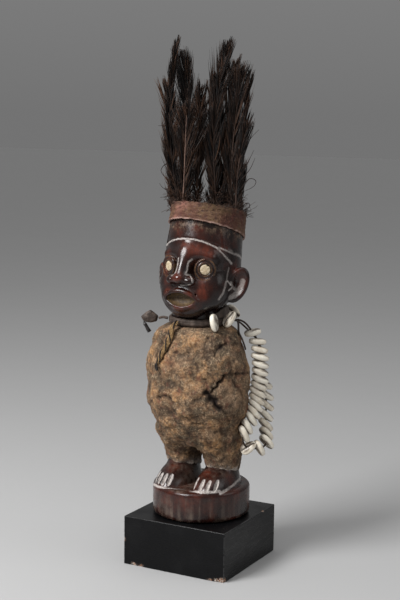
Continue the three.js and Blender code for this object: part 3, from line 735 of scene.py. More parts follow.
@dataclass
class CarvedFigure:
    """The one block of wood: foot disc, feet, legs, core, neck, head and cap."""

    disc_radius: float = 50.0
    disc_levels: tuple = (50.8, 82.0)
    foot: tuple = (22.3, -6.5, 81.0)
    foot_half: tuple = (20.4, 35.5, 21.5)
    leg: tuple = (22.5, 5.0, 16.5)
    toe_gaps: tuple = (11.8, 20.4, 27.1, 33.4, -16.7, -22.4, -28, -33)
    gap_levels: tuple = (83.6, 93.2)
    neck: tuple = (-8.0, 27.0)
    lean: float = 1.6
    lean_pivot: float = 255.0
    skull_z: float = 305.0
    skull_half: tuple = (37.4, 40.0)
    eye: tuple = (20.0, -37.6, 306.5)
    eye_turn: float = 28.0
    eyeball: float = 12.5
    mouth_place: tuple = (-49.8, 276.4)
    mouth_half: tuple = (18.0, 8.0)
    ear_place: tuple = (41.2, -8.8)
    ear_levels: tuple = (290.3, 287.4)
    ear_half: tuple = (11.6, 17.8)
    trunk_share: float = 0.76
    clay_lines: tuple = (
        (((165.6, 246.6), (168.3, 243), (171.9, 240.6), (178, 238.9), (184.5, 238.5), (193, 239.2),
                (201.1, 241), (209, 243.9), (217, 247.9)), 1.6, 0.8),
        (((219, 247.6), (226, 250.6), (233, 253.6), (239.8, 256.4)), 1.5, 0.5),
        (((217, 247.9), (222, 253), (227, 258.5), (231.5, 263.6)), 1.9, 0.55, True),
        (((229, 268), (227.6, 274), (226.5, 280.6)), 1.8, 0.3, True),
        (((226.3, 282), (225, 287), (223.2, 293), (219, 299.3)), 3.0, 0.5, True),
        (((178.4, 258), (177.9, 262), (177.5, 265), (176.6, 269), (175.4, 272.5), (172, 275.5)),
         1.5, 0.75),
        (((191.9, 259.5), (188.8, 262), (187.6, 266), (187.3, 270), (185.6, 273.8)), 2.0, 0.8),
        (((185.6, 274.4), (190, 275.4), (191.6, 278.5), (192.5, 282)), 1.7, 0.8),
        (((180.5, 285), (185, 285.4), (190, 284.6)), 1.3, 0.7),
        (((227.6, 281), (230.6, 285)), 1.4, 0.8),
        (((228.6, 290.6), (232, 287.4)), 1.4, 0.8),
        (((230, 297.4), (234, 295.8), (238.4, 291.6), (241.4, 286.4), (243, 281)), 5.2, 0.42),
        (((231, 283), (233, 288), (236, 290)), 3.0, 0.4),
        (((159.6, 266), (159.8, 280), (160.4, 294)), 1.0, 0.35),
        (((177, 489.2), (186, 491), (195, 491.8), (207.5, 492.7), (219.6, 491.4)), 2.5, 0.95),
        (((220, 493.6), (228.8, 488.6), (234.4, 484.2), (240, 478.6)), 2.6, 0.7),
        (((152.6, 483.6), (158, 486.4), (163.8, 488), (175, 488.6)), 2.4, 0.95),
    )
    worn_spots: tuple = (
        (192, 249, 12, 0.75), (206, 251, 9, 0.6), (178, 276, 5.5, 1), (190, 277, 4, 0.5),
        (204, 291, 8, 0.85), (201, 283, 6, 0.4, True), (176, 289.6, 4.5, 0.9), (167, 291, 4, 0.6),
        (187, 294, 5, 0.8), (176, 308, 8, 0.75), (190, 305, 5, 0.6), (166, 268, 6, 0.5),
        (168, 257, 6, 0.5), (236, 270, 5, 0.6, True), (245, 283, 6, 0.5), (180, 233, 10, 0.4),
        (198, 236, 10, 0.5), (222, 246, 9, 0.35), (208, 474, 9, 0.7), (172, 466, 9, 0.6),
        (186, 497, 20, 0.55), (230, 480, 8, 0.4), (155, 500, 10, 0.5),
    )
    keep: float = 0.8
    gaps: list = field(default_factory=list)

    def upright(self, x: Array, z: Array) -> tuple[Array, Array]:
        """Turns places of the slightly leaning head back upright.

        Args:
            x, z: Places in the leaning head.

        Returns:
            The same places in the upright one.
        """
        c, s = cos_sin(self.lean)
        rise = z - self.lean_pivot
        return x * c - rise * s, x * s + rise * c + self.lean_pivot

    def skull(self, x: Array, y: Array, z: Array) -> Array:
        """The head without its nose, mouth, eyes and ears, in its upright frame.

        Args:
            x, y, z: Places.

        Returns:
            Signed distances.
        """
        side = np.abs(x)
        above = np.maximum(z - self.skull_z, 0)
        a, b = self.skull_half[0] - 0.07 * above, self.skull_half[1] - 0.04 * above
        d = oval(x, y + 7 - 0.18 * above, a, b)
        d = smooth_max(d, (258 + 0.37 * (y + 40) - z) / 1.066, 20)
        d = smooth_min(d, ellipsoid(side, y, z, (21.5, -25, 287), (12, 12.5, 14)), 9)
        d = smooth_min(d, ellipsoid(x, y, z, (0, -38.6, 277.5), (25, 11.6, 15.5)), 8)
        d = smooth_min(d, ellipsoid(x, y, z, (0, -36, 265.5), (15, 8, 7.6)), 6)
        d = smooth_min(d, capsule(side, y, z, (5, -41, 320), (23.5, -33, 318), (4.2, 3.6)), 7)
        d = smooth_max(d, -ellipsoid(side, y, z, (20, -48, 307), (14.5, 12.5, 13)), 5)
        hairline = np.interp(z, [270, 278, 290, 300, 310, 326], [-24, -20, -16, -14, -13, -24])
        d = d - 1.3 * step_up(y - hairline, -0.9, 0.9) * step_up(z, 262, 267)
        (ex, ey, ez), ball = self.eye, self.eyeball
        c, s = cos_sin(self.eye_turn)
        d = smooth_min(d, ellipsoid(side, y, z, (ex - ball * s, ey + ball * c, ez), (ball, ball, ball)), 2)
        neck = np.maximum(np.hypot(x, y - self.neck[0]) - self.neck[1], z - 275)
        return smooth_min(d, neck, 3)

    def cap(self, x: Array, y: Array, z: Array) -> Array:
        """The smooth carved cap that carries the hide crown.

        Args:
            x, y, z: Places.

        Returns:
            Signed distances.
        """
        drawn_in = CAP_TAPER * np.maximum(0, z + TOP_FALL * y - RIM_LEVEL)
        wall = oval(x, y + 0.5 - 0.15 * (z - 335), CAP_HALF[0] - drawn_in, CAP_HALF[1] - drawn_in)
        rim = (RIM_LEVEL - RIM_FALL * y - z) / 1.081
        return np.maximum(smooth_max(wall, rim, 2.2), z - 350 + TOP_FALL * y)

    def eye_place(self, side: Array, y: Array, z: Array) -> tuple[Array, Array]:
        """Distance from the eye's middle across its plane, and out of it.

        Args:
            side, y, z: Places, with the side's own distance from the middle plane.

        Returns:
            The two distances.
        """
        c, s = cos_sin(self.eye_turn)
        ex, ey, ez = self.eye
        return np.hypot((side - ex) * c + (y - ey) * s, z - ez), (side - ex) * s - (y - ey) * c

    def lips(self, x: Array, y: Array, z: Array) -> Array:
        """The ring of the open lips, which follows the curve of the muzzle.

        Args:
            x, y, z: Places.

        Returns:
            Signed distances.
        """
        dz = z - self.mouth_place[1]
        edge = almond(x, dz, *self.mouth_half)
        ahead = y - (self.mouth_place[0] + x * x / 130 - 0.19 * dz + 0.9 * bell(x, 5) * (dz > 0))
        return np.hypot(edge * 0.92, ahead * 0.9) - (2.05 + 0.55 * bell(x, 9) + 0.7 * bell(x, 11) * (dz < 0))

    def ear(self, x: Array, y: Array, z: Array, side: int) -> Array:
        """One flared ear, hollowed inside its rolled rim.

        Args:
            x, y, z: Places.
            side: 1 for the left ear, -1 for the right.

        Returns:
            Signed distances.
        """
        dx, dy = x - self.ear_place[0] * side, y - self.ear_place[1]
        t = z - self.ear_levels[0 if side > 0 else 1]
        out = dx * 0.777 * side + dy * 0.629 - 0.24 * t
        ahead = dx * 0.629 * side - dy * 0.777
        half_out, half_up = self.ear_half
        shell = smooth_max(oval(out, t, half_out, half_up), np.abs(ahead + 0.8) - 3.5, 3.4)
        bowl = ellipsoid(out, t, ahead, (-0.4, 0.5, 5.2), (8.6, 14.4, 6.6))
        shell = smooth_max(shell, -bowl, 1.3)
        shell = smooth_max(shell, -ellipsoid(out, t, ahead, (-3.2, 1.0, 0.5), (3.2, 5.0, 4.4)), 1)
        lobe = ellipsoid(out, t, ahead, (-8.6, -2.5, 1.0), (2.8, 5.2, 2.6))
        return smooth_min(shell, lobe, 1.6)

    def leaned(self, points: Array) -> Array:
        """Places of the upright head turned with its slight lean.

        Args:
            points: Places, with x, y and z last.

        Returns:
            The turned places.
        """
        c, s = cos_sin(self.lean)
        x, y, rise = points[..., 0], points[..., 1], points[..., 2] - self.lean_pivot
        return np.stack([x * c + rise * s, y, rise * c - x * s + self.lean_pivot], -1)

    def head(self, x: Array, y: Array, z: Array) -> Array:
        """The whole head as a signed distance.

        Args:
            x, y, z: Places.

        Returns:
            Signed distances.
        """
        x, z = self.upright(x, z)
        side = np.abs(x)
        d = self.skull(x, y, z)
        d = smooth_min(d, capsule(x, y, z, (0, -40.6, 324), (0, -49.8, 303), (4.8, 5.6)), 7)
        d = smooth_min(d, ellipsoid(x, y, z, (0, -51.6, 297.6), (7.4, 7.6, 5.8)), 3)
        d = smooth_min(d, ellipsoid(side, y, z, (9.0, -49.4, 295.4), (6.4, 6.5, 5.0)), 2.2)
        d = smooth_max(d, -ellipsoid(side, y, z, (6.2, -53.4, 290.4), (3.7, 3.6, 3.0)), 1)
        d = smooth_max(d, -capsule(side, y, z, (12.8, -41.5, 289), (15.6, -47.5, 281), (1.1, 0.8)), 1.6)
        d = smooth_min(d, self.lips(x, y, z), 1.8)
        d = smooth_max(d, -self.mouth(x, y, z), 1.2)
        away, out = self.eye_place(side, y, z)
        front = 1.1 + 0.5 * bell(away - 10, 0.9) - 0.75 * bell(away - 8.3, 0.8) + 0.35 * bell(away - 6.7, 0.8)
        ring = np.maximum(out - front, -out - 2.9)
        d = smooth_min(d, smooth_max(away - 10.5, ring, 1), 0.6)
        d = smooth_max(d, -np.maximum(away - 5.4, -out - 0.6), 0.3)
        for left in (1, -1):
            d = smooth_min(d, self.ear(x, y, z, left), 1.4)
        d = np.maximum(d, z - 344 + TOP_FALL * y)
        return np.minimum(d, self.cap(x, y, z))

    def mouth(self, x: Array, y: Array, z: Array) -> Array:
        """The hollow of the open mouth.

        Args:
            x, y, z: Places.

        Returns:
            Signed distances.
        """
        ahead, level = self.mouth_place
        half_across, half_up = self.mouth_half
        opening = almond(x, z - level, half_across - 1.3, half_up - 1.5)
        return smooth_max(opening, y - ahead - 7.5, 7)

    def plain_foot(self, x: Array, y: Array, z: Array) -> Array:
        """A foot and its leg, without the toe gaps.

        Args:
            x, y, z: Places.

        Returns:
            Signed distances.
        """
        side = np.abs(x)
        (fx, fy, fz), (hx, hy, hz) = self.foot, self.foot_half
        f = np.abs((side - fx) / hx) ** 2.8 + np.abs((y - fy) / hy) ** 1.5 + np.abs((z - fz) / hz) ** 1.5
        dome = smooth_max((f**0.6 - 1) * hx, np.hypot(x, y) - 49, 2)
        leg = np.hypot(side - self.leg[0], y - self.leg[1]) - self.leg[2]
        return smooth_min(dome, leg, 6)

    def find_gaps(self) -> None:
        """Places each toe gap's ends and slope on the front of its foot."""
        for across in self.toe_gaps:
            ends = []
            for level in self.gap_levels:
                ys = np.linspace(-46, -8, 800)
                d = self.plain_foot(np.full(800, float(across)), ys, np.full(800, level))
                ends.append(np.array([across, ys[np.argmax(d < 0)], level]))
            self.gaps.append(ends)

    def gap(self, x: Array, y: Array, z: Array, ends: list) -> Array:
        """The leaf-shaped hollow of one toe gap.

        Args:
            x, y, z: Places.
            ends: The gap's low and high ends.

        Returns:
            Signed distances.
        """
        low, high = ends
        _, up, rise = unit(high - low)
        middle = (low + high) / 2
        dy, dz = y - middle[1], z - middle[2]
        half = (1.8, np.linalg.norm(high - low) / 2, 1.5)
        return ellipsoid(x - middle[0], dy * up + dz * rise, dy * rise - dz * up, (0, 0, 0), half)

    def low(self, x: Array, y: Array, z: Array) -> Array:
        """The foot disc, the feet and the lower legs.

        Args:
            x, y, z: Places.

        Returns:
            Signed distances.
        """
        turn = np.arctan2(x, -y)
        radius = self.disc_radius - 0.2 + 0.3 * np.sin(3 * turn + 1) + 0.2 * np.sin(7 * turn)
        bottom, top = self.disc_levels
        height = np.abs(z - (bottom + top) / 2) - (top - bottom) / 2
        disc = smooth_max(np.hypot(x, y) - radius, height, 5)
        feet = self.plain_foot(x, y, z)
        for ends in self.gaps:
            feet = smooth_max(feet, -self.gap(x, y, z, ends), 0.7)
        return smooth_min(disc, np.maximum(feet, 70 - z), 0.8)

    def core(self, x: Array, y: Array, z: Array) -> Array:
        """The legs' tops and the trunk inside the crust.

        Args:
            x, y, z: Places.

        Returns:
            Signed distances.
        """
        side = np.abs(x)
        legs = np.maximum(np.hypot(side - self.leg[0], y - self.leg[1]) - self.leg[2], z - 134)
        half = np.interp(z, [128, 147, 205, 238], [30, 44, 50, 34]) * self.trunk_share
        trunk = np.maximum(oval(x, y + 8, half, half * 0.9), np.abs(z - 188) - 59)
        neck = np.maximum(np.hypot(x, y - self.neck[0]) - self.neck[1] + 2, np.abs(z - 246) - 8)
        return np.minimum(np.minimum(legs, trunk), neck)

    def whole(self, x: Array, y: Array, z: Array) -> Array:
        """The whole carving, for a list of places.

        Args:
            x, y, z: Places.

        Returns:
            Signed distances.
        """
        result = np.empty(np.shape(z))
        for part, rule in ((z < 112, self.low), ((z >= 112) & (z < 246), self.core), (z >= 246, self.head)):
            result[part] = rule(x[part], y[part], z[part])
        return result

    def shape(self) -> Shape:
        """Carves the block.

        Returns:
            The whole carving as one closed mesh.
        """
        self.find_gaps()
        xs = np.arange(-56, 56.5, 0.85)[:, None, None]
        ys = np.arange(-63, 52.5, 0.85)[None, :, None]
        zs = [np.arange(49, 112, 0.9), np.arange(112, 246, 4.0), np.arange(246, 363, 0.75)]
        blocks = [rule(xs, ys, z[None, None, :]) for rule, z in zip((self.low, self.core, self.head), zs)]
        shape = surface_net(np.concatenate(blocks, 2), (xs.ravel(), ys.ravel(), np.concatenate(zs)))
        fine = (shape.points[:, 2] < 108) | (shape.points[:, 2] > 248)
        shape.points[fine] = settle(shape.points[fine], self.whole)
        return thinned(shape, self.keep)

    def masks(self, shape: Shape) -> dict:
        """Where clay, wear, dust and bare hollows lie.

        Args:
            shape: The finished carving.

        Returns:
            Numbers for each point, by the name that the finish reads.
        """
        tree, p = tree_of(shape), shape.points
        x, y, z = p.T
        rough = Noise(5).layers(p, 5, 3)
        clay = strokes(self.clay_lines, p, tree, rough * 0.5)
        for ends in self.gaps:
            hollow = self.gap(x, y, z, ends)
            clay = np.maximum(clay, 1 - step_up(hollow + 0.3 * rough, 0.0, 0.55))
        ux, uz = self.upright(x, z)
        rim = uz - (RIM_LEVEL - RIM_FALL * y)
        line = bell(rim + 0.7, 1.3) * (z > 290) * step_up(rough, -0.5, 0.4)
        clay = np.maximum(clay, 0.6 * line * step_up(y, -22, -8))
        clay *= np.clip(0.9 + 0.5 * rough, 0.4, 1)
        mouth = (1 - step_up(self.mouth(ux, y, uz), 0.2, 1.0)) * (y > -50.6 + ux**2 / 130)
        turn = np.arctan2(x, -y)
        side = (1 - step_up(z, 73, 78)) * (z < 84)
        streak = 0.4 * Noise(9).at(turn * 9, turn * 3, z / 26)
        blotch = 1.3 * Noise(10).at(x / 9, y / 9, z / 6)
        dust = side * held(0.06 + streak + blotch + 0.8 * rough)
        between = bell(x + 1, 7) * (z > 81) * (z < 112)
        ankle = bell(z - 99, 5) * (z < 108) * held(0.4 + rough)
        dust = np.maximum(dust, np.maximum(0.8 * between, 0.55 * ankle))
        crown_foot = bell(z + 0.342 * y - 336.5, 5) * (z > 300)
        smear = crown_foot * held(0.55 + 1.2 * rough)
        worn = patches(self.worn_spots, p, tree)
        worn = np.maximum(worn, 0.3 * ((z > 76) & (z < 84)))
        worn = np.maximum(worn, 0.2 * side * held(0.6 + blotch))
        away, out = self.eye_place(np.abs(ux), y, uz)
        gold = (0.8 * bell(away - 10.1, 0.6) + 0.5 * bell(away - 6.5, 0.6)) * (np.abs(out) < 5)
        gold *= held(0.5 + 0.9 * rough)
        return {"clay": clay, "worn": worn, "dust": dust, "hollow": mouth, "gold": gold, "smear": smear}

    def build(self) -> None:
        """Makes the carving."""
        shape = self.shape()
        masks = self.masks(shape)
        piece("carved_wood", shape, PatinatedWood().build(), masks, ["carved_figure"])


@dataclass
class EyeInlay:
    """One of the two uneven discs of pale shell set in the eye rings.

    Its side is 1 for the figure's left eye and -1 for its right.
    """

    side: int
    name: str
    radius: float = 5.25
    profile: tuple = ((0.9, -0.45), (1, 0.1), (1, 0.75), (0.94, 1.15), (0.8, 1.4), (0.55, 1.6), (0.25, 1.7))
    carving: CarvedFigure = field(default_factory=CarvedFigure)

    def build(self) -> None:
        """Makes the inlay."""
        side, figure = self.side, self.carving
        c, s = cos_sin(figure.eye_turn)
        normal, level = np.array([s * side, -c, 0]), np.array([c, s * side, 0])
        middle = figure.eye * np.array([side, 1, 1])
        turn = turns(56)
        relief = Noise(31 + side)
        notch = 1 - 0.16 * bell((turn - 1.1 + np.pi) % (2 * np.pi) - np.pi, 0.25)
        uneven = relief.at(np.cos(turn) * 2.2, np.sin(turn) * 2.2, turn * 0)
        edge = self.radius * notch * (0.965 + 0.05 * uneven)
        rings = []
        for share, out in self.profile:
            across, up = edge * share * np.cos(turn), edge * share * np.sin(turn)
            dent = 0.3 * relief.at(across / 1.7, up / 1.7, across * 0) * (out > 1)
            ring = middle + level * across[:, None] + normal * (out + dent)[:, None]
            ring[:, 2] += up
            rings.append(ring)
        points = figure.leaned(np.array(rings))
        if side < 0:
            points = points[:, ::-1]
        shape = lofted(points)
        piece(f"eye_shell_{self.name}", shape, InlayShell().build(),
              replaced=[f"eye_inlay_{self.name}"])


# The crust of baked earth


@dataclass
class EarthCoat:
    """The thick crust of earth and pigment over the trunk and the legs."""

    body: tuple = (
        (124, 24, -2), (130, 34, -3), (138, 42, -4), (150, 46.8, -6), (165, 51.6, -8), (188, 52, -8),
        (205, 50.3, -9.5), (222, 46.8, -11), (234, 43.5, -12), (241.5, 39.5, -12), (245.8, 34, -10),
        (247.6, 29.5, -8),
    )
    sleeve: tuple = (
        (99, 17.3, 17.7, 5), (103, 18.2, 18.6, 4.6), (113, 19.4, 21.5, 2.6), (124, 21, 26.5, -0.8),
        (138, 23, 33, -4),
    )
    swellings: tuple = (
        (72, 214, 2.4, 26, 13), (-68, 210, 2.0, 24, 16), (20, 176, 1.6, 26, 16), (-30, 150, 1.2, 20, 10),
        (52, 160, 1.2, 16, 12), (150, 200, 1.8, 30, 20), (-140, 170, 1.6, 34, 18), (180, 140, 1.2, 30, 14),
    )
    cracks: tuple = (
        (((224.4, 376), (222.5, 380.4), (218.2, 383), (217.5, 387), (213, 389.5), (211.2, 393.5)),
         1.9, 0.9),
        (((206, 392), (209.5, 394), (211.5, 398), (216, 401.5), (216.4, 406), (221.4, 409)), 3.8),
        (((221.4, 409), (225.4, 412), (227, 416)), 2.0, 0.6),
        (((227, 417), (229, 423), (227.6, 430)), 1.6, 0.3),
        (((223, 375.6), (230, 374.6), (238, 373.8), (247, 373)), 2.0, 0.5),
        (((214.7, 356), (217, 351.4), (221, 346.6), (228, 343.2)), 2.0, 0.45),
        (((158.4, 397.6), (163, 396), (168.7, 397.6), (173, 402.6)), 2.4, 0.75),
        (((166.5, 330), (160, 344), (157, 358), (159, 368)), 2.0, 0.5),
        (((155, 380), (157, 388), (159.5, 395)), 1.8, 0.5),
        (((176, 352), (183, 356), (188, 353)), 1.8, 0.4),
        (((186, 418), (194, 424), (205, 425)), 1.8, 0.4),
        (((233, 381), (240, 390), (243, 402)), 1.6, 0.35),
    )
    back_cracks: tuple = (
        ((150, 222), (160, 206), (155, 192), (170, 176)), ((-120, 202), (-130, 186), (-118, 166)),
        ((120, 152), (135, 141), (152, 144)), ((-160, 232), (-171, 216)),
        ((176, 166), (184, 151), (180, 136)), ((-78, 176), (-86, 160), (-80, 148)),
        ((98, 190), (106, 176), (101, 160)),
    )
    leg_x: float = 22.5
    grid: float = 1.1

    def section(self, z: Array) -> tuple[Array, Array, Array]:
        """Half width, half depth and middle of the trunk at a height.

        Args:
            z: Heights.

        Returns:
            The three sizes at each height.
        """
        rows = np.array(self.body)
        half = np.interp(z, rows[:, 0], rows[:, 1])
        return half * 1.03, half * 0.9, np.interp(z, rows[:, 0], rows[:, 2])

    def radius(self, angle: Array, z: Array) -> Array:
        """How far the trunk's surface is from its middle, at an angle in degrees.

        Args:
            angle: Angles in degrees.
            z: Heights.

        Returns:
            The distances.
        """
        a, b, _ = self.section(z)
        total = oval_radius(np.radians(angle), a, b) - 0.8
        for at, height, rise, wide, tall in self.swellings:
            turn = (angle - at + 540) % 360 - 180
            total = total + rise * bell(turn, wide) * bell(z - height, tall)
        return total

    def on(self, angle: float, z: float, lift: float = 0.0) -> Array:
        """A place on the trunk's surface, or lift millimetres off it.

        Args:
            angle: Its angle in degrees.
            z: Its height.
            lift: How far it is off the surface.

        Returns:
            The place.
        """
        c, s = cos_sin(angle)
        r = float(self.radius(np.float64(angle), np.float64(z))) + lift
        middle = float(self.section(np.float64(z))[2])
        return np.array([s * r, middle - c * r, z])

    def distance(self, x: Array, y: Array, z: Array) -> Array:
        """The crust without its fine relief, close to a signed distance.

        Args:
            x, y, z: Places.

        Returns:
            Signed distances.
        """
        middle = self.section(z)[2]
        angle = np.degrees(np.arctan2(x, middle - y))
        trunk = np.hypot(x, y - middle) - self.radius(angle, z)
        trunk = smooth_max(trunk * 0.9, np.abs(z - 185.8) - 61.8, 4)
        rows = np.array(self.sleeve)
        wide, deep, at = (np.interp(z, rows[:, 0], rows[:, k]) for k in (1, 2, 3))
        ragged = 99 + 1.6 * np.sin(angle / 19) + 1.1 * np.sin(angle / 7 + 2)
        leg = smooth_max(oval(np.abs(x) - self.leg_x, y - at, wide, deep), ragged - z, 2)
        return smooth_min(trunk, smooth_max(leg, z - 140, 6), 9)

    def shape(self) -> tuple[Shape, dict]:
        """Builds the crust with its relief.

        Returns:
            The mesh, and the numbers that its finish reads.
        """
        axes = [np.arange(-63, 64, self.grid), np.arange(-63, 48, self.grid), np.arange(94, 252, self.grid)]
        values = self.distance(axes[0][:, None, None], axes[1][None, :, None], axes[2][None, None, :])
        shape = surface_net(values, axes)
        shape.points = settle(shape.points, self.distance, 2)
        tree, p, normal = tree_of(shape), shape.points, shape.normals()
        x, _, z = p.T
        coarse, crumbly = Noise(11).layers(p, 30, 2), Noise(12).layers(p, 11, 3, 0.6)
        fine = Noise(13).layers(p, 3.4, 2, 0.7)
        dark, deep = np.zeros(len(p)), np.zeros(len(p))
        lines = []
        for crack in (Stroke(*row) for row in self.cracks):
            line, width = LENS.on(tree, crack.filled()), crack.width
            lines.append((line, 0.7 * fine, crack.strength, width * 0.62, width * 0.8))
        for run in self.back_cracks:
            line = np.array([self.on(angle, height, 0.5) for angle, height in run])
            lines.append((line, 0.8 * fine + 0.8 * crumbly, 0.6, 1.6, 1.9))
        # Each crack is sunk into the relief and darkened along its line as painted shade.
        for line, waver, strength, cut, shade in lines:
            if len(line) > 1:
                away = np.maximum(near_line(p, line) + waver, 0)
                deep = np.maximum(deep, strength * bell(away, cut))
                dark = np.maximum(dark, strength * bell(away, shade))
        smooth = patches([(231, 398, 13), (234, 357, 10, 0.7), (228, 388, 9)], p, tree)
        hollow = patches([(221, 347.5, 5, 1), (212, 402, 4, 0.8)], p, tree)
        plates = np.abs(Noise(14).layers(p, 17, 2)) ** 0.7
        keep = 1 - 0.65 * smooth
        layer = np.tanh(5 * Noise(15).layers(p, 27, 4, 0.55))
        crease = held(1 - plates * 1.25) ** 2
        relief = 1.2 * coarse + keep * (0.75 * layer + 1.0 * crumbly - 1.0 * crease + 0.55 * fine)
        relief -= 4.6 * deep + 1.6 * hollow
        inside = np.minimum(np.abs(z - 247), np.abs(z - 97))
        relief = relief * (0.25 + 0.75 * step_up(inside, 0, 7)) + 0.5
        shape.points = p + normal * np.clip(relief, -6, 2.3)[:, None]
        leg_end = bell(z - 99.5, 4.5) * step_up(crumbly + 0.4, -0.2, 0.5)
        # Painted shade: darker between the legs, in the hollows and in the creases of the relief.
        between = bell(x, 8) * (1 - step_up(z, 118, 134))
        dark = held(np.maximum(dark, 0.65 * between) + 0.5 * hollow + 0.5 * keep * crease)
        # Painted shadow patches, among them the shaded inner side of the right leg.
        dark = np.maximum(dark, patches([
            (182, 449, 9, 0.55), (205, 425, 8, 0.3), (222, 434, 7, 0.3), (236, 420, 8, 0.25),
            (178, 418, 7, 0.25),
        ], p, tree))
        # Painted shade in the low spots of the crumbly relief.
        cavity = held(0.15 - 0.75 * crumbly - 0.55 * fine) * keep
        grey = patches([(184, 360, 9, 0.6), (196, 330, 12, 0.6), (205, 345, 10, 0.4)], p, tree)
        grey = np.maximum(0.7 * smooth, grey)
        # Tan patches: orange-tan earth, and also painted highlight along the lit left edge of the body and on
        # the lower legs.
        tan = patches([
            (152, 350, 9, 0.9), (151, 380, 9, 0.9), (160, 340, 8, 0.7), (163, 410, 9, 0.7),
            (172, 425, 9, 0.6), (200, 372, 11, 0.6), (166, 372, 10, 0.5), (178, 396, 10, 0.4),
            (215, 445, 10, 0.8), (236, 448, 9, 0.8), (190, 340, 8, 0.5), (168, 450, 8, 0.8),
        ], p, tree)
        red = [(170, 362, 6, 0.9), (230, 440, 5, 0.6), (206, 352, 5, 0.5), (237, 376, 6, 0.5)]
        return shape, {"dark": dark, "grey": grey, "tan": tan, "red": patches(red, p, tree),
                       "pale": 0.85 * leg_end, "cavity": cavity, "layer": 0.5 + 0.5 * layer}

    def build(self) -> None:
        """Makes the crust."""
        shape, masks = self.shape()
        piece("baked_earth", shape, BakedEarth().build(), masks, ["earth_crust"])


# The hide crown and its feathers


@dataclass
class HideCrown:
    """The wrinkled band of crusted hide round the cap, and the filling that holds the quills."""

    low: tuple = (341.0, 0.342)
    top: tuple = (CROWN_TOP, TOP_FALL)
    wall: float = 1.9
    sink: float = FILL_DEPTH
    columns: int = 260
    figure: CarvedFigure = field(default_factory=CarvedFigure)

    def ring(self, z: Array, fall: float, grow: Array) -> Array:
        """A ring round the crown.

        Args:
            z: Height of each point where y is zero.
            fall: How much the ring falls towards the back.
            grow: How far each point is out from the cap.

        Returns:
            The ring's points.
        """
        turn = turns(self.columns)
        z = np.broadcast_to(z, turn.shape)
        drawn_in = CAP_TAPER * (np.minimum(z, 350) - 4 - RIM_LEVEL)
        r = oval_radius(turn, CAP_HALF[0] - drawn_in, CAP_HALF[1] - drawn_in) + grow
        x, y = np.sin(turn) * r, -0.5 + 0.15 * (z - 335) - np.cos(turn) * r
        return self.figure.leaned(np.stack([x, y, z - fall * y], 1))

    def hairs(self) -> Shape:
        """Curly hairs and down that stand out of the filling round the rim.

        Returns:
            One mesh with every hair.
        """
        rng = np.random.default_rng(24)
        rim = self.ring(self.top[0] - 2.6, self.top[1], -1.0)
        s, paths = np.linspace(0, 1, 9)[:, None], []
        for start in rim[rng.integers(0, self.columns, 420)]:
            out = unit(np.array([start[0], start[1] + 4, 0]))
            way = out * rng.uniform(-0.5, 1.1) + [0, 0, rng.uniform(0.1, 1.1)]
            way = way + 0.35 * rng.normal(size=3)
            other = unit(np.cross(way, rng.normal(size=3)))
            loops, phase = rng.uniform(2, 8), rng.uniform(0, 6)
            wave = np.sin(loops * s + phase) * other + np.cos(loops * s + phase) * out
            wave *= rng.uniform(0.5, 1.9) * s
            paths.append(start + way * rng.uniform(4, 10) * s + wave)
        return bundle(np.array(paths), 0.17, 0.17, [0.3, -0.9, 0.2], 3)

    def build(self) -> None:
        """Makes the band with its filling."""
        turn = turns(self.columns)
        fold, crumb = Noise(21), Noise(22)
        (low, low_fall), (top, top_fall) = self.low, self.top
        low_edge = low + 0.55 * crumb.around(turn, 7) + 0.35 * crumb.around(turn, 21, 4)
        top_edge = top + 0.9 * crumb.around(turn, 6, 9) + 0.6 * crumb.around(turn, 17, 2)
        rings = [self.ring(350.4, top_fall, -33.0), self.ring(350.4, top_fall, 0.35),
                 self.ring(low_edge, low_fall, 0.35)]
        levels = [0, 0, 0]
        for t in np.linspace(0, 1, 34):
            z, fall = low_edge * (1 - t) + top_edge * t, low_fall * (1 - t) + top_fall * t
            wrinkle = fold.around(turn, 3.2, z / 4.5) * 0.7 + fold.around(turn, 7, z / 2.4) * 0.4
            crust = crumb.around(turn, 12, z / 3) * 0.45 + crumb.around(turn, 24, z / 1.6) * 0.28
            soft = 1 - 0.6 * bell(t - 1, 0.08) - 0.35 * bell(t, 0.04)
            out = self.wall + soft * (wrinkle + crust) + 0.35 * bell(t, 0.07) - 0.1
            rings.append(self.ring(z, fall, out))
            levels.append(t)
        for drop, inward in ((0, -1.2), (0.8, -2.6), (self.sink, -4)):
            ragged = (top_edge - top) * (1 - drop / self.sink)
            rings.append(self.ring(top + ragged - drop, top_fall, inward))
            levels.append(1)
        for inward in (-8, -14, -20, -26, -31, -34):
            lumps = 1.5 * crumb.around(turn, -inward / 5, inward)
            rings.append(self.ring(top - self.sink + lumps, top_fall, inward))
            levels.append(1.2)
        shape = lofted(np.array(rings)[::-1])
        level = np.append(np.repeat(np.array(levels)[::-1], self.columns), [1.2, 0])
        hairs = self.hairs()
        shape = shape.joined(hairs)
        level = np.append(level, np.full(len(hairs.points), 1.2))
        tree, p = tree_of(shape), shape.points
        rough = Noise(23).layers(p, 6, 3)
        chalk = bell(level - 0.02, 0.045) * (p[:, 2] > 300) * held(0.6 + 0.9 * rough)
        pink = [(184, 204, 5, 0.8), (178, 208, 4, 0.5), (196, 202, 4, 0.4), (176, 219, 5, 0.5)]
        pink = patches(pink, p, tree) * held(0.7 + rough)
        tan = patches([(213, 207, 12, 0.8), (200, 214, 9, 0.4), (205, 200, 7, 0.6)], p, tree)
        inner = np.maximum(step_up(level, 1, 1.2), 0.7 * step_up(level, 0.68, 0.95) * held(0.45 + rough))
        masks = {"chalk": chalk, "pink": pink, "tan": tan, "inner": inner}
        piece("hide_crown", shape, CrustedHide().build(), masks, ["crown_band"])


def across_fan(across: Array, depth: Array, z: Array) -> Array:
    """Places by how far they are across the feather fan, out of it and up.

    Args:
        across, depth, z: The three distances.

    Returns:
        The places.
    """
    c, s = cos_sin(FRONT_TURN)
    across, depth, z = np.broadcast_arrays(across, depth, z)
    return np.stack([across * c + depth * s, across * s - depth * c, z], -1)


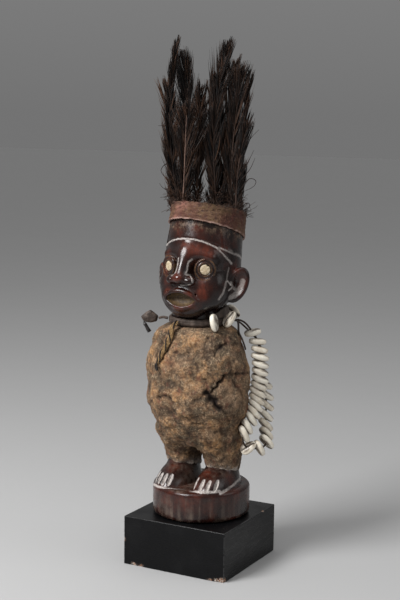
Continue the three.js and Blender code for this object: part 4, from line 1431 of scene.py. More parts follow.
@dataclass
class Feather:
    """One worn feather: its quill, its ragged barbs and the down at its foot."""

    name: str
    base: float
    tip: float
    depth: float
    top: float
    bend: float
    width: float
    twist: float
    brown: float = 0.3
    pale_quill: float = 0.03
    spread: float = 1.0
    reach: float = 2.9
    seed: int = 1
    wisps: tuple = ()
    sunk: float = 5.0

    def quill_line(self, t: Array) -> Array:
        """Places on the quill, from 0 at its foot to 1 at its tip.

        Args:
            t: How far along the quill.

        Returns:
            The places.
        """
        foot = CROWN_TOP - FILL_DEPTH - TOP_FALL * across_fan(self.base, self.depth, 0)[1] - self.sunk
        shift = self.base + (self.tip - self.base) * t + self.bend * np.sin(np.pi * t)
        return across_fan(shift, self.depth, foot + (self.top - foot) * t)

    def barbs(self, rng: np.random.Generator) -> tuple[Array, Array, Array]:
        """The barbs on both sides of the quill.

        Args:
            rng: The source of their unevenness.

        Returns:
            Paths, half widths and the direction that they face.
        """
        c, s = cos_sin(FRONT_TURN + self.twist)
        flat, out = np.array([c, s, 0]), np.array([s, -c, 0])
        length = self.top - 360
        count = int(length * 1.9)
        paths, widths = [], []
        s = np.linspace(0, 1, 7)
        for side in (1, -1):
            clumps = rng.normal(size=(60, 4))
            for t in np.sort(rng.uniform(0.02, 0.985, count)):
                clump = clumps[int(t * 26 + (3 if side > 0 else 0))]
                share = np.interp(t, [0, 0.09, 0.2, 0.45, 0.7, 0.9, 1], [0.5, 0.7, 0.9, 1, 1, 0.8, 0.4])
                angle = math.radians(9 + 7 * share + 4.2 * clump[0] + rng.normal(0, 2.8)) * self.spread
                fluff = max(0.0, 1 - t / 0.24) * rng.uniform(0.2, 1.0)
                angle += math.radians(34) * fluff
                angle = max(angle, math.radians(4))
                long = self.width * self.reach * share
                long *= max(0.35, 1 + 0.24 * clump[1] + rng.normal(0, 0.13)) * (1 - 0.45 * fluff)
                long = min(long, max(7.0, (1.0 - t) * length + 5 + 2.5 * clump[1]))
                bend = angle * (1 - 0.55 * s + 0.12 * clump[2] * s)
                steps = long / 6
                up = np.concatenate([[0], np.cumsum(np.cos(bend[1:]) * steps)])
                sideways = np.concatenate([[0], np.cumsum(np.sin(bend[1:]) * steps)]) * side
                near, ahead = self.quill_line(np.array([t, min(t + 0.02, 1.0)]))
                along = unit(ahead - near) if t < 0.98 else np.array([0, 0, 1.0])
                lift = s**1.3 * (3.0 * clump[3] + rng.normal(0, 1.2))
                curl = (0.6 + 1.6 * fluff) * np.sin(s * rng.uniform(2, 6) + rng.uniform(0, 6)) * s
                path = near + along * up[:, None] + flat * (sideways + curl)[:, None]
                paths.append(path + out * lift[:, None])
                widths.append((0.46 + 0.12 * rng.normal()) * np.array([0.75, 1, 1, 0.9, 0.72, 0.45, 0.1]))
        return np.array(paths), np.clip(np.array(widths), 0.05, 0.8), out

    def down(self, rng: np.random.Generator) -> Array:
        """The curly down at the quill's foot, as paths.

        Args:
            rng: The source of its unevenness.

        Returns:
            One path for each curl.
        """
        s = np.linspace(0, 1, 11)[:, None]
        paths = []
        for _ in range(64):
            start = self.quill_line(np.array([rng.uniform(0.02, 0.17)]))[0]
            heading, rise = rng.uniform(0, 2 * np.pi), rng.uniform(-0.2, 0.9)
            long, loops = rng.uniform(5, 14), rng.uniform(2, 8)
            way = unit(np.array([math.cos(heading), math.sin(heading), rise]))
            other = np.cross(way, [0.3, -0.5, 0.8])
            wave = 1.6 * s * (np.sin(loops * s) * other + np.cos(loops * s) * np.cross(way, other))
            paths.append(start + way * (long * s) + wave)
        return np.array(paths)

    def build(self) -> None:
        """Makes the feather."""
        rng = np.random.default_rng(self.seed)
        paths, widths, out = self.barbs(rng)
        vane = bundle(paths, widths, widths * 0.42, out, 3)
        tint = held(self.brown + 0.32 * rng.normal(size=len(paths)))
        tint = np.repeat(tint, len(vane.points) // len(paths))
        t = np.linspace(0, 1, 28)
        thick = np.interp(t, [0, 0.3, 1], [0.95, 0.7, 0.22])[None]
        parts = [(bundle(self.quill_line(t)[None], thick, thick * 0.9, out, 8), self.brown, self.pale_quill),
                 (vane, tint, 0), (bundle(self.down(rng), 0.2, 0.2, [0.2, -0.9, 0.3], 3), 0.5, 0.05)]
        taper = np.linspace(0.5, 0.14, 18)[None]
        for marks in self.wisps:
            line = through([self.in_fan(*mark) for mark in marks], 18)[None]
            parts.append((bundle(line, taper, taper * 0.7, out, 4), 0.15, 0))
        shape, masks = layered(parts, ("brown", "pale"))
        piece(f"plume_{self.name}", shape, Plume().build(), masks, [f"feather_{self.name}"])

    def in_fan(self, across: float, down: float) -> Array:
        """Where a point of the picture falls in this feather's plane of the fan.

        Args:
            across, down: The point in pixels.

        Returns:
            The place.
        """
        facing = across_fan(0, 1, 0)
        way, place = LENS.ray(across, down), np.array(LENS.place)
        return place + way * ((self.depth - place @ facing) / (way @ facing))


@dataclass
class FeatherFan:
    """The two bunches of feathers that stand in the crown."""

    feathers: tuple = (
        ("left_tall", -25, -30, 10, 525, -8, 8, 12, 0.10, 0.03, 1.0, 2.9, 41),
        ("left_broad", -19, -24, -2, 515, 4, 14, -8, 0.05, 0.03, 1.0, 2.9, 42),
        ("left_brown", -31, -38, -2, 486, 1, 12, 20, 0.95, 0.25, 1.35, 2.1, 43,
         (((172, 164), (165, 164.5), (161, 170.5), (164, 176), (171, 181)),
          ((171, 128), (165, 126), (158, 125.6)), ((174, 188), (168, 190), (162, 187), (159.5, 183)),
          ((172, 190), (167, 196), (160, 197.5)))),
        ("left_front", -22, -19, 14, 462, 0, 14, -6, 0.30, 0.4, 1.4, 2.4, 44),
        ("middle_left", -10, -6, 4, 482, 2, 9, 10, 0.35, 0.05, 1.3, 2.7, 45),
        ("middle_right", 7, 8, -6, 494, -2, 10, -12, 0.35, 0.05, 1.0, 2.9, 46),
        ("right_tall", 13, 20, 6, 524, -8, 14, 8, 0.10, 0.03, 1.05, 2.7, 47),
        ("right_brown", 19, 28, -8, 506, -4, 15, -10, 0.50, 0.1, 1.1, 2.8, 48),
        ("right_upper", 27, 35, 4, 499, -4, 13, 14, 0.2, 0.1, 1.1, 2.8, 49),
        ("right_outer", 35, 42, -8, 494, -2, 7, -6, 0.05, 0.03, 0.9, 2.9, 50),
        ("right_low", 31, 41, 14, 448, -4, 10, 6, 0.20, 0.12, 1.3, 2.2, 51,
         (((240, 150), (249, 137), (255, 118)), ((241, 155), (251, 138), (259, 129.6)),
          ((241, 174), (249, 160), (254, 150)), ((241, 180), (250, 169), (255, 158)),
          ((240, 190), (250, 178.5), (256, 181), (254, 186), (243, 192)),
          ((240, 207), (248.5, 203), (249.5, 207), (243, 211)))),
    )

    def build(self) -> None:
        """Makes every feather."""
        for row in self.feathers:
            Feather(*row).build()


# The strand of shells


@dataclass
class Cowry:
    """One cowry: a domed back, a flat face with its toothed slit, and the back cut open for stringing."""

    half_length: float = 9.1
    half_width: float = 5.8
    back: float = 3.9
    face: float = 3.4
    pole: float = 0.12
    rows: int = 32
    columns: int = 40

    def shape(self, seed: int) -> tuple[Shape, dict]:
        """Makes the shell with its long axis along X and its slit facing -Z.

        Args:
            seed: Chooses the shell's small unevenness.

        Returns:
            The mesh, and the numbers that its finish reads.
        """
        rng = np.random.default_rng(seed)
        u = np.linspace(self.pole, np.pi - self.pole, self.rows)[:, None]
        turn = turns(self.columns)[None, :]
        v = turn + 0.33 * np.sin(2 * turn)
        long = self.half_length * (1 + 0.04 * rng.normal())
        x = -long * np.cos(u) / math.cos(self.pole) + 0 * v
        along = x / long
        wide = self.half_width * (1 + 0.04 * rng.normal()) * np.sin(u) ** 0.85 * (1 - 0.22 * along)
        y = wide * np.sign(np.cos(v)) * np.abs(np.cos(v)) ** 0.92
        up = np.sin(v)
        z = np.where(up > 0, self.back, self.face) * np.abs(up) ** 0.8 * np.sign(up) * np.sin(u) ** 0.6
        inner = 1 - step_up(np.abs(along), 0.78, 0.95)
        z = np.where(up > 0, np.minimum(z, self.back * 0.86), z)
        open_back = 1 - step_up((along / 0.42) ** 2 + (y / (0.4 * self.half_width)) ** 2, 0.55, 1.1)
        z = z - np.where(up > 0, 2.0 * open_back, 0)
        slit = bell(y - 0.25 * np.sin(along * 2.2), 0.85) * inner * (up < 0)
        teeth = np.cos(x * 2 * np.pi / 1.25) * bell(np.abs(y) - 1.35, 0.75) * inner * (up < 0)
        z = z + 1.7 * slit - 0.22 * teeth
        shape = lofted(np.stack([x, y, z], 2))
        # The slit mask is painted shade in the slit's opening.
        dark = np.append(held(slit * 1.2 - 0.15), [0, 0])
        # Painted shade on the faces that turn towards the neighbouring shells on the cord.
        neighbour_shade = 0.95 * step_up(np.abs(up), 0.42, 0.85) * held(0.8 + 0.5 * np.sin(3 * v + 5 * along + seed))
        cut = np.append(np.maximum(np.maximum((up > 0) * open_back, neighbour_shade), 0.25 * teeth), [0, 0])
        return shape, {"slit": dark, "cut": cut, "age": np.full(len(shape.points), rng.uniform(0, 1))}


@dataclass
class ShellStrand:
    """The cord that hangs in a loop from the left shoulder, and the cowries strung on it."""

    diameter: float = 2.0
    lead: float = 6.6
    roll: float = 15.0
    route: tuple = (
        (29.4, 7, 251.4), (35, 10.6, 251.2), (39.5, 15.5, 248), (44.6, 20, 240), (50, 21.5, 231.5),
        (53.6, 20.5, 224), (55.5, 18.5, 216), (56.8, 17, 208.5), (57.4, 16, 200.5), (57.6, 15.5, 193),
        (57.2, 14.5, 186), (56.6, 13, 179), (56.6, 11, 171.5), (56.8, 7.6, 164.5), (56.4, 4, 158),
        (55.2, -0.6, 151.5), (53.6, -7, 142.5), (52.6, -11, 134.5), (54.4, -8.5, 127.5), (60, 0, 124),
        (65, 9, 124), (65.6, 17, 127), (62, 23.5, 134.5), (59.1, 27.5, 143.5), (57.3, 31.3, 153),
        (56.1, 34.5, 162), (54.3, 36.3, 171.5), (52.8, 37.5, 180.5), (51.6, 38.2, 190), (50.6, 38.8, 199),
        (49.2, 39.5, 208), (46.4, 40.2, 218), (41.1, 39.5, 228), (33, 35, 238), (25.5, 27.5, 246.8),
        (20.6, 17.6, 250.6),
    )
    side: tuple = (
        (20.5, 12), (31, -4), (39.5, -14), (47, -14), (54.5, -18), (61.8, -22), (69, -24), (75.8, -28),
        (82.6, -32), (89.6, -37), (96.6, -42), (103.6, -48), (110.8, -55), (120, -62), (128.2, -64),
    )
    bottom: tuple = ((146, 35), (159, -60))
    behind: tuple = ((173, -46), (182.5, -46), (192, -44), (202, -42), (212.5, -38), (223, -34), (233.5, -28))
    loose: tuple = (("front", (29.2, -31.6, 253.4), -80, 20), ("side", (36.6, -13.4, 255.4), 55, 40),
                    ("back", (26.5, 13.5, 258.4), -35, 80))

    def cord(self) -> Thing:
        """Makes the two-ply cord as one tube whose surface follows the twist.

        Returns:
            The cord.
        """
        line = through(self.route, 620)
        across = carried(line, np.array([0.2, -0.3, 1.0]))
        other = np.cross(unit(np.gradient(line, axis=0)), across)
        turn = turns(12)
        lay = np.abs(np.cos(turn[None, :] - gone_along(line)[:, None] * 1.5)) ** 0.7
        radius = self.diameter / 2 * (0.76 + 0.24 * lay)
        rings = line[:, None] + radius[..., None] * (
            np.cos(turn)[None, :, None] * across[:, None] + np.sin(turn)[None, :, None] * other[:, None])
        shape = lofted(rings)
        # The ply mask is painted shade: the grooves between the plies are darkened.
        ply = np.append((1 - lay).ravel(), [0, 0])
        return piece("shell_cord", shape, TwistedCord().build(), {"ply": ply}, ["strand_cord"])

    def threaded(self, gone: float, tilt: float, line: Array) -> tuple[Array, Array]:
        """Where a shell sits on the cord.

        Args:
            gone: How far along the cord it sits.
            tilt: How far its long axis leans from level.
            line: The cord's middle, evenly spaced.

        Returns:
            Its long, wide and thin directions as rows, and its place.
        """
        at = (gone + self.lead) / gone_along(line)[-1] * (len(line) - 1)
        index = int(at)
        middle = line[index] + (line[index + 1] - line[index]) * (at - index)
        tangent = unit(line[index + 1] - line[index - 1])
        level, rise = cos_sin(tilt)
        long = across_fan(level, 0, rise)
        thin = unit(tangent - long * (tangent @ long))
        front = np.cross(long, thin)
        front *= np.sign(front @ across_fan(0, 1, 0)) * np.sign(thin[2])
        c, s = cos_sin(self.roll)
        thin = thin * c + front * s
        return np.stack([long, np.cross(thin, long), thin]), middle

    def set_shell(self, name: str, axes: Array, middle: Array, finish: Material,
                  seed: int) -> Thing:
        """Makes a shell at a place, with its long, wide and thin directions as rows.

        Args:
            name: The CAD node that it stands for.
            axes: The three directions.
            middle: Its place.
            finish: The shell's material.
            seed: Chooses its unevenness.

        Returns:
            The new piece.
        """
        shape, masks = Cowry().shape(seed)
        shape.points = shape.points @ axes + middle
        return piece(name.replace("cowry", "shell"), shape, finish, masks, [name])

    def build(self) -> None:
        """Makes the cord first, and then its shells."""
        cord = self.cord()
        finish, line = CowryShell().build(), through(self.route, 1600)
        shells = []
        for run, places in (("side", self.side), ("bottom", self.bottom), ("back", self.behind)):
            for number, (gone, tilt) in enumerate(places, 1):
                name = f"cowry_{run}_{number}"
                axes, middle = self.threaded(gone, tilt, line)
                shells.append(self.set_shell(name, axes, middle, finish, 60 + len(shells)))
        path = (through(self.route, 240) * MM).tolist()
        for number, (name, place, tilt, roll) in enumerate(self.loose):
            turned = Matrix.Identity(3)
            for angle, axis in ((FRONT_TURN, "Z"), (-tilt, "Y"), (roll + 180, "X")):
                turned = turned @ Matrix.Rotation(math.radians(angle), 3, axis)
            self.set_shell(f"cowry_neck_{name}", np.array(turned).T, np.array(place), finish, 120 + number)


# Leather and fibre at the neck


@dataclass
class NeckLeather:
    """The collar, its flap, the shoulder strap and the small packet on its thong."""

    coat: EarthCoat = field(default_factory=EarthCoat)
    neck_y: float = -8.0
    packet: tuple = (-46.5, -27.5, 252.5)
    section: tuple = (
        (27.4, 248.3), (28.9, 248.0), (30.3, 248.4), (31.0, 249.6), (31.2, 251), (30.7, 251.9),
        (31.0, 252.8), (30.7, 254.2), (29.9, 255.1), (28.6, 255.4), (27.5, 254.8), (27.35, 251.6),
    )
    packet_outline: tuple = ((-9, 0), (-6, -5), (1, -6), (7, -4.5), (8.5, 1), (4, 4.5), (0.5, 7), (-4, 4.5))
    packet_layers: tuple = (
        (-3.1, 0.3), (-3, 0.6), (-2.4, 0.84), (-1.4, 0.97), (-0.4, 1.02), (0.1, 0.95), (0.7, 1.02),
        (1.6, 0.96), (2.5, 0.82), (3, 0.6), (3.15, 0.3),
    )
    tube_profile: tuple = (
        (7.0, 0.9), (5.4, 1.1), (5.0, 1.7), (3.8, 1.85), (2.4, 1.7), (0.6, 1.8), (-1.6, 1.95), (-3.4, 2.1),
        (-4.8, 2.15), (-5.0, 1.7), (-4.2, 1.4), (-2.2, 1.3),
    )

    def collar(self) -> None:
        """Makes the folded band round the neck."""
        turn = turns(150)
        cx, cy = np.cos(turn), np.sin(turn)
        fold, rings = Noise(71), []
        for r, z in self.section:
            wave = 0.45 * fold.at(cx * 3, cy * 3, turn * 0 + z / 6)
            small = 0.22 * fold.at(cx * 11, cy * 11, turn * 0 + z / 2)
            high = 0.5 * fold.at(cx * 4, cy * 4, turn * 0 + 5) * (z > 254)
            reach = r + (wave + small) * (r > 28)
            rings.append(np.stack([cy * reach, self.neck_y - cx * reach, z + high], 1))
        self.leather("leather_collar", lofted(np.array(rings), closed=True), "neck_collar")

    def leather(self, name: str, shape: Shape, node: str, finish: "OldLeather | None" = None) -> None:
        """Makes one leather piece with its uneven wear.

        Args:
            name: The piece's name.
            shape: Its mesh.
            node: The CAD node that it stands for.
            finish: Its leather, where that isn't the plain brown.
        """
        worn = held(0.5 + Noise(72).layers(shape.points, 4, 3))
        piece(name, shape, (finish or OldLeather()).build(), {"edge": worn}, [node])

    def flap(self) -> None:
        """Makes the hide flap that stands under the left ear."""
        degrees, foot = np.linspace(50, 124, 64), 255.4
        angle, none, fold = np.radians(degrees), np.zeros(64), Noise(73)
        top = np.interp(degrees, [50, 62, 74, 86, 98, 110, 124], [258, 261, 264, 266.5, 267.5, 266, 260])
        top += 0.8 * fold.at(angle * 9, none + 0.5, none + 0.5)
        column = [(27.8, foot), (28.6, 255.3), (29.5, 255.6)]
        for t in np.linspace(0.12, 0.95, 7):
            z = foot + (top - foot) * t
            column.append((29.4 + 0.5 * fold.at(angle * 5, z / 5, none + 3) + 0.4 * t, z))
        column += [(29.1, top), (28.3, top - 0.1)]
        column += [(27.75, foot + (top - foot) * t) for t in (0.9, 0.6, 0.3)]
        c, s = np.cos(angle), np.sin(angle)
        rings = [np.stack([s * r, self.neck_y - c * r, z + none], 1) for r, z in column]
        self.leather("hide_flap", lofted(np.stack(rings, 1)), "neck_flap", OldLeather(grey=0.55))

    def ribbon(self, name: str, points: list, halves: list, thick: float, out: Sequence[float],
               node: str) -> None:
        """Makes a flat strip of leather along a line.

        Args:
            name: The piece's name.
            points: Places on its middle.
            halves: Half widths at those places.
            thick: Its half thickness.
            out: The direction that it faces.
            node: The CAD node that it stands for.
        """
        line = through(points, 60)
        half = np.interp(np.linspace(0, 1, 60), np.linspace(0, 1, len(halves)), halves)
        wave = 1 + 0.12 * Noise(74).at(np.linspace(0, 9, 60), np.zeros(60), np.zeros(60))
        turn = turns(14)
        side, lift = frame_along(line, np.array(out, float))
        squared = np.sign(np.cos(turn)) * np.abs(np.cos(turn)) ** 0.5
        raised = np.sign(np.sin(turn)) * np.abs(np.sin(turn)) ** 0.6
        rings = line[:, None] + side[:, None] * (squared[:, None] * (half * wave)[:, None, None])
        rings = rings + lift[:, None] * (raised[:, None] * thick)
        self.leather(name, lofted(rings), node)

    def folded_packet(self) -> None:
        """Makes the small folded packet and its tube."""
        outline = np.array(self.packet_outline, float)
        around, sides = np.vstack([outline, outline[:1]]), len(outline)
        gone = np.linspace(0, sides, 65)[:-1]
        flat = np.stack([np.interp(gone, np.arange(sides + 1), around[:, k]) for k in range(2)], 1)
        for _ in range(3):
            flat = (np.roll(flat, 1, 0) + 2 * flat + np.roll(flat, -1, 0)) / 4
        fold, rings = Noise(75), []
        for depth, share in self.packet_layers:
            s, t = flat.T * share
            dent = 0.45 * fold.at(s / 3.4, t / 3.4, s * 0 + depth)
            place = across_fan(s * (1 + 0.03 * dent), depth + dent * (abs(depth) > 1.5), t)
            rings.append(place + self.packet)
        self.leather("packet_leather", lofted(np.array(rings)), "leather_packet", OldLeather(grey=0.25))
        c, s = cos_sin(30)
        along, side, out = across_fan(-s, 0, c), across_fan(c, 0, s), across_fan(0, 1, 0)
        middle = self.packet + across_fan(-2.8, 0, -11.2)
        turn = turns(28)[:, None]
        rings = []
        for lift, radius in self.tube_profile:
            bump = radius * (1 + 0.04 * np.sin(3 * turn + lift))
            rings.append(middle + along * lift + side * np.cos(turn) * bump + out * np.sin(turn) * bump)
        self.leather("packet_black_tube", lofted(np.array(rings)), "packet_tube", OldLeather(dark=True))

    def build(self) -> None:
        """Makes every leather piece."""
        self.collar()
        self.flap()
        shoulder = [(30.3, 3.9, 252), (35.6, 6.4, 250.4)]
        shoulder += [self.coat.on(angle, z, 1.9) for angle, z in ((113, 240), (114, 231), (115, 222))]
        self.ribbon("shoulder_thong", shoulder, [2, 2, 2, 1.8, 1.5], 0.8, (0.85, 0.3, 0.45), "shoulder_strap")
        thong = [(-28.4, -22.6, 252), (-33, -24.2, 252.8), (-37.6, -23.8, 251.6)]
        self.ribbon("packet_strip", thong, [1.7, 1.6, 1.5], 1.3, (0, 0, 1), "packet_thong")
        self.folded_packet()


@dataclass
class FibreTwist:
    """The hank of straw-coloured fibre down the right breast, wound with a black cord."""

    coat: EarthCoat = field(default_factory=EarthCoat)
    fibres: int = 70

    def build(self) -> None:
        """Makes the hank and the cord that binds it as one piece."""
        route = [np.array([-6.5, -40.5, 252.5]), np.array([-9, -48, 248])]
        route += [self.coat.on(a, z, 3.3) for a, z in ((-14, 239), (-18, 229), (-24, 219), (-29, 208))]
        line = through(route, 60)
        out = line - np.array([0, -8, 0]) - np.array([0, 0, 1]) * line[:, 2:] + np.array([0, 0, 10.0])
        side, lift = frame_along(line, out)
        s = np.linspace(0, 1, len(line))
        half = np.interp(s, np.linspace(0, 1, 6), [1.8, 2.7, 3.1, 2.7, 2.3, 1.2])

        def wound(turn: Array, share: Array, flatness: float, rise: float = 0.0) -> Array:
            """A line round the hank's middle at a share of its width."""
            across = np.cos(turn) * share * half
            return line + side * across[:, None] + lift * (rise + np.sin(turn) * half * flatness)[:, None]

        rng = np.random.default_rng(81)
        paths = []
        for _ in range(self.fibres):
            turn = rng.uniform(0, 2 * np.pi) + s * rng.uniform(3, 6) + 0.5 * np.sin(s * rng.uniform(4, 12))
            reach = math.sqrt(rng.uniform(0.05, 1))
            paths.append(wound(turn, reach, reach * 0.52))
        taper = np.interp(s, [0, 0.05, 0.8, 1], [0.3, 0.42, 0.38, 0.12])
        parts = [(bundle(np.array(paths), taper, taper * 0.8, [0.3, -0.9, 0.2], 4), 0)]
        for phase in (0.4, 2.9):
            cord = wound(s * 15 + phase, 0.85, 0.62, 0.5)
            parts.append((bundle(cord[None], 0.62, 0.62, [0.2, -0.3, 1], 8), 1))
        end = line[-1] + lift[-1] * 0.6
        spin = np.linspace(0, 2 * np.pi, 26)
        loop = end + np.outer(np.cos(spin) * 2.1, side[-1])
        loop = loop + np.outer(np.sin(spin) * 3.0 - 1.0, [-0.1, -0.05, 1])
        parts.append((bundle(loop[None], 0.8, 0.8, unit(out[-1]), 8), 1))
        shape, masks = layered(parts, ["black"])
        piece("straw_hank", shape, StrawFibre().build(), masks, ["fibre_twist"])


# The plinth


@dataclass
class BlackPlinth:
    """The square block of black lacquered wood, chipped along its lower edges."""

    side: float = 115.0
    height: float = 50.5
    bevel: float = 0.9
    cells: int = 60
    chips: tuple = (
        ((56, -57, 1.0), 5.5, 2.0), ((50, -57.4, 0.4), 4, 1.3), ((43, -57.4, 0.3), 3, 0.8),
        ((-38, -57.4, 0.3), 3.5, 0.8), ((-46, -57.4, 0.4), 3.5, 1.0), ((-57, 22, 0.3), 4, 0.8),
        ((57, 30, 50.2), 2.2, 0.4), ((-57.2, -57.2, 26), 2, 0.3),
    )

    def build(self) -> None:
        """Makes the plinth."""
        half = np.array([self.side / 2, self.side / 2, self.height / 2])
        shape = None
        t = np.linspace(-1, 1, self.cells + 1)
        t = np.sign(t) * (1 - (1 - np.abs(t)) ** 1.9)
        for axis in range(3):
            for sign in (-1, 1):
                u, v = np.meshgrid(t, t, indexing="ij")
                cube = np.zeros((self.cells + 1, self.cells + 1, 3))
                cube[..., axis], cube[..., (axis + 1) % 3], cube[..., (axis + 2) % 3] = sign, u, v
                row = self.cells + 1
                i = np.arange(self.cells)[:, None] * row + np.arange(self.cells)[None, :]
                quads = np.stack([i, i + row, i + row + 1, i + 1], 2).reshape(-1, 4)
                quads = quads if sign > 0 else quads[:, ::-1]
                face = Shape(cube.reshape(-1, 3), quads.tolist())
                shape = face if shape is None else shape.joined(face)
        keys = np.round(shape.points, 6)
        _, first, inverse = np.unique(keys, axis=0, return_index=True, return_inverse=True)
        cube, faces = shape.points[first], inverse.ravel()[np.array(shape.faces)].tolist()
        solid = cube * half
        inner = np.clip(solid, -(half - self.bevel), half - self.bevel)
        away = solid - inner
        points = inner + unit(away) * self.bevel + [0, 0, half[2]]
        rough, chipped = Noise(91).layers(points, 2.4, 3), np.zeros(len(points))
        centre = np.array([0, 0, half[2]])
        for place, reach, depth in self.chips:
            distance = np.linalg.norm(points - np.array(place), axis=1) + 0.9 * rough
            bite = 1 - step_up(distance, reach * 0.55, reach)
            inward = unit((centre - points) * [1, 1, 0.4])
            points = points + inward * (bite * depth * (0.8 + 0.5 * rough))[:, None]
            chipped = np.maximum(chipped, bite)
        points[:, 2] = np.maximum(points[:, 2], 0)
        edges = np.sort(np.abs(cube), axis=1)[:, 1]
        masks = {"chip": chipped, "edge": step_up(edges, 0.982, 0.9999)}
        shape = Shape(points, faces)
        piece("plinth_block", shape, BlackLacquer().build(), masks, ["plinth"])


# Finishes


class Blend(Enum):
    """How two numbers join in a finish."""

    ADD = "ADD"
    TAKE = "SUBTRACT"
    TIMES = "MULTIPLY"
    MOST = "MAXIMUM"


class Graph:
    """A finish under construction: its nodes, and short calls that add more."""

    def __init__(self, name: str) -> None:
        """Starts a material with its shader and the object's own coordinates.

        Args:
            name: The material's name.
        """
        self.material = bpy.data.materials.new(name)
        self.material.use_nodes = True
        self.tree = self.material.node_tree
        self.tree.nodes.clear()
        out, self.shader = self.add("OutputMaterial"), self.add("BsdfPrincipled")
        self.tree.links.new(self.shader.outputs[0], out.inputs[0])
        self.place = self.add("TexCoord").outputs["Object"]
        self.colour = None

    def give(self, socket: Socket, value: object) -> None:
        """Joins a socket to another, or sets its number or colour.

        Args:
            socket: What takes it.
            value: The other socket, the number or the colour.
        """
        if isinstance(value, Socket):
            self.tree.links.new(value, socket)
        elif isinstance(value, tuple) and len(value) == 3 and socket.type == "RGBA":
            socket.default_value = (*value, 1)
        else:
            socket.default_value = value

    def add(self, kind: str, **inputs: object) -> bpy.types.Node:
        """A new node with what its inputs take, by their names with _ for spaces.

        Args:
            kind: The end of its type.
            inputs: What they take.

        Returns:
            The node.
        """
        node = self.tree.nodes.new(f"ShaderNode{kind}")
        for name, value in inputs.items():
            self.give(node.inputs[name.replace("_", " ")], value)
        return node

    def noise(self, size: float, detail: float = 4, rough: float = 0.55, stretch: tuple = (1, 1, 1),
              bend: float = 0.0) -> Socket:
        """Cloudy variation from 0 to 1 with lumps of a size in millimetres.

        Args:
            size: The size of the lumps.
            detail: How many finer layers there are.
            rough: How strong those are.
            stretch: How much finer it is along each axis.
            bend: How far it is warped.

        Returns:
            The variation.
        """
        scale = tuple(s / (size * MM) for s in stretch)
        place = self.add("Mapping", Scale=scale, Vector=self.place).outputs[0]
        node = self.add("TexNoise", Vector=place, Scale=1.0, Detail=detail, Roughness=rough, Distortion=bend)
        return node.outputs["Fac"]

    def cells(self, size: float) -> Socket:
        """Distance from the middles of uneven cells of a size in millimetres."""
        return self.add("TexVoronoi", Vector=self.place, Scale=1 / (size * MM)).outputs["Distance"]

    def mask(self, name: str) -> Socket:
        """A number that the piece's mesh carries at each point.

        Args:
            name: The mask's name.

        Returns:
            The number.
        """
        node = self.add("Attribute")
        node.attribute_name = name
        return node.outputs["Fac"]

    def spread(self, value: object, low: float, high: float, least: float = 0.0,
               most: float = 1.0) -> Socket:
        """Stretches a range of numbers over another, smoothly.

        Args:
            value: The number to stretch.
            low, high: The range that it comes in.
            least, most: The range that it goes out in.

        Returns:
            The stretched number.
        """
        node = self.add("MapRange", From_Min=low, From_Max=high, To_Min=least, To_Max=most, Value=value)
        node.interpolation_type = "SMOOTHSTEP"
        return node.outputs["Result"]

    def math(self, how: Blend, a: object, b: object) -> Socket:
        """Joins two numbers, kept from 0 to 1.

        Args:
            how: How they join.
            a, b: The numbers.

        Returns:
            The joined number.
        """
        node = self.add("Math")
        node.operation = how.value
        node.use_clamp = True
        self.give(node.inputs[0], a)
        self.give(node.inputs[1], b)
        return node.outputs[0]

    def times(self, a: object, b: object) -> Socket:
        """The product of two numbers."""
        return self.math(Blend.TIMES, a, b)

    def plus(self, a: object, b: object) -> Socket:
        """The sum of two numbers."""
        return self.math(Blend.ADD, a, b)

    def most(self, a: object, b: object) -> Socket:
        """The greater of two numbers."""
        return self.math(Blend.MOST, a, b)

    def mix(self, share: object, a: object, b: object) -> Socket:
        """A colour between two, by a share from 0 to 1.

        Args:
            share: How much of the second.
            a, b: The colours.

        Returns:
            The mixed colour.
        """
        node = self.add("Mix")
        node.data_type = "RGBA"
        self.give(node.inputs["Factor"], share)
        self.give(node.inputs[6], a)
        self.give(node.inputs[7], b)
        return node.outputs[2]

    def lay(self, share: object, over: object) -> None:
        """Lays another colour over the one so far, by a share from 0 to 1."""
        self.colour = self.mix(share, self.colour, over)

    def finish(self, roughness: object, height: object, depth: float, **even: float) -> Material:
        """Joins the colour so far, roughness and relief to the shader.

        Args:
            roughness: The surface's roughness.
            height: Its relief, from 0 to 1.
            depth: How deep that relief is, in millimetres.
            even: Numbers that are the same all over, by their socket's name with _ for spaces.

        Returns:
            The finished material.
        """
        self.give(self.shader.inputs["Base Color"], self.colour)
        self.give(self.shader.inputs["Roughness"], roughness)
        bump = self.add("Bump", Distance=depth * MM, Height=height)
        self.tree.links.new(bump.outputs[0], self.shader.inputs["Normal"])
        for name, number in even.items():
            self.shader.inputs[name.replace("_", " ")].default_value = number
        return self.material


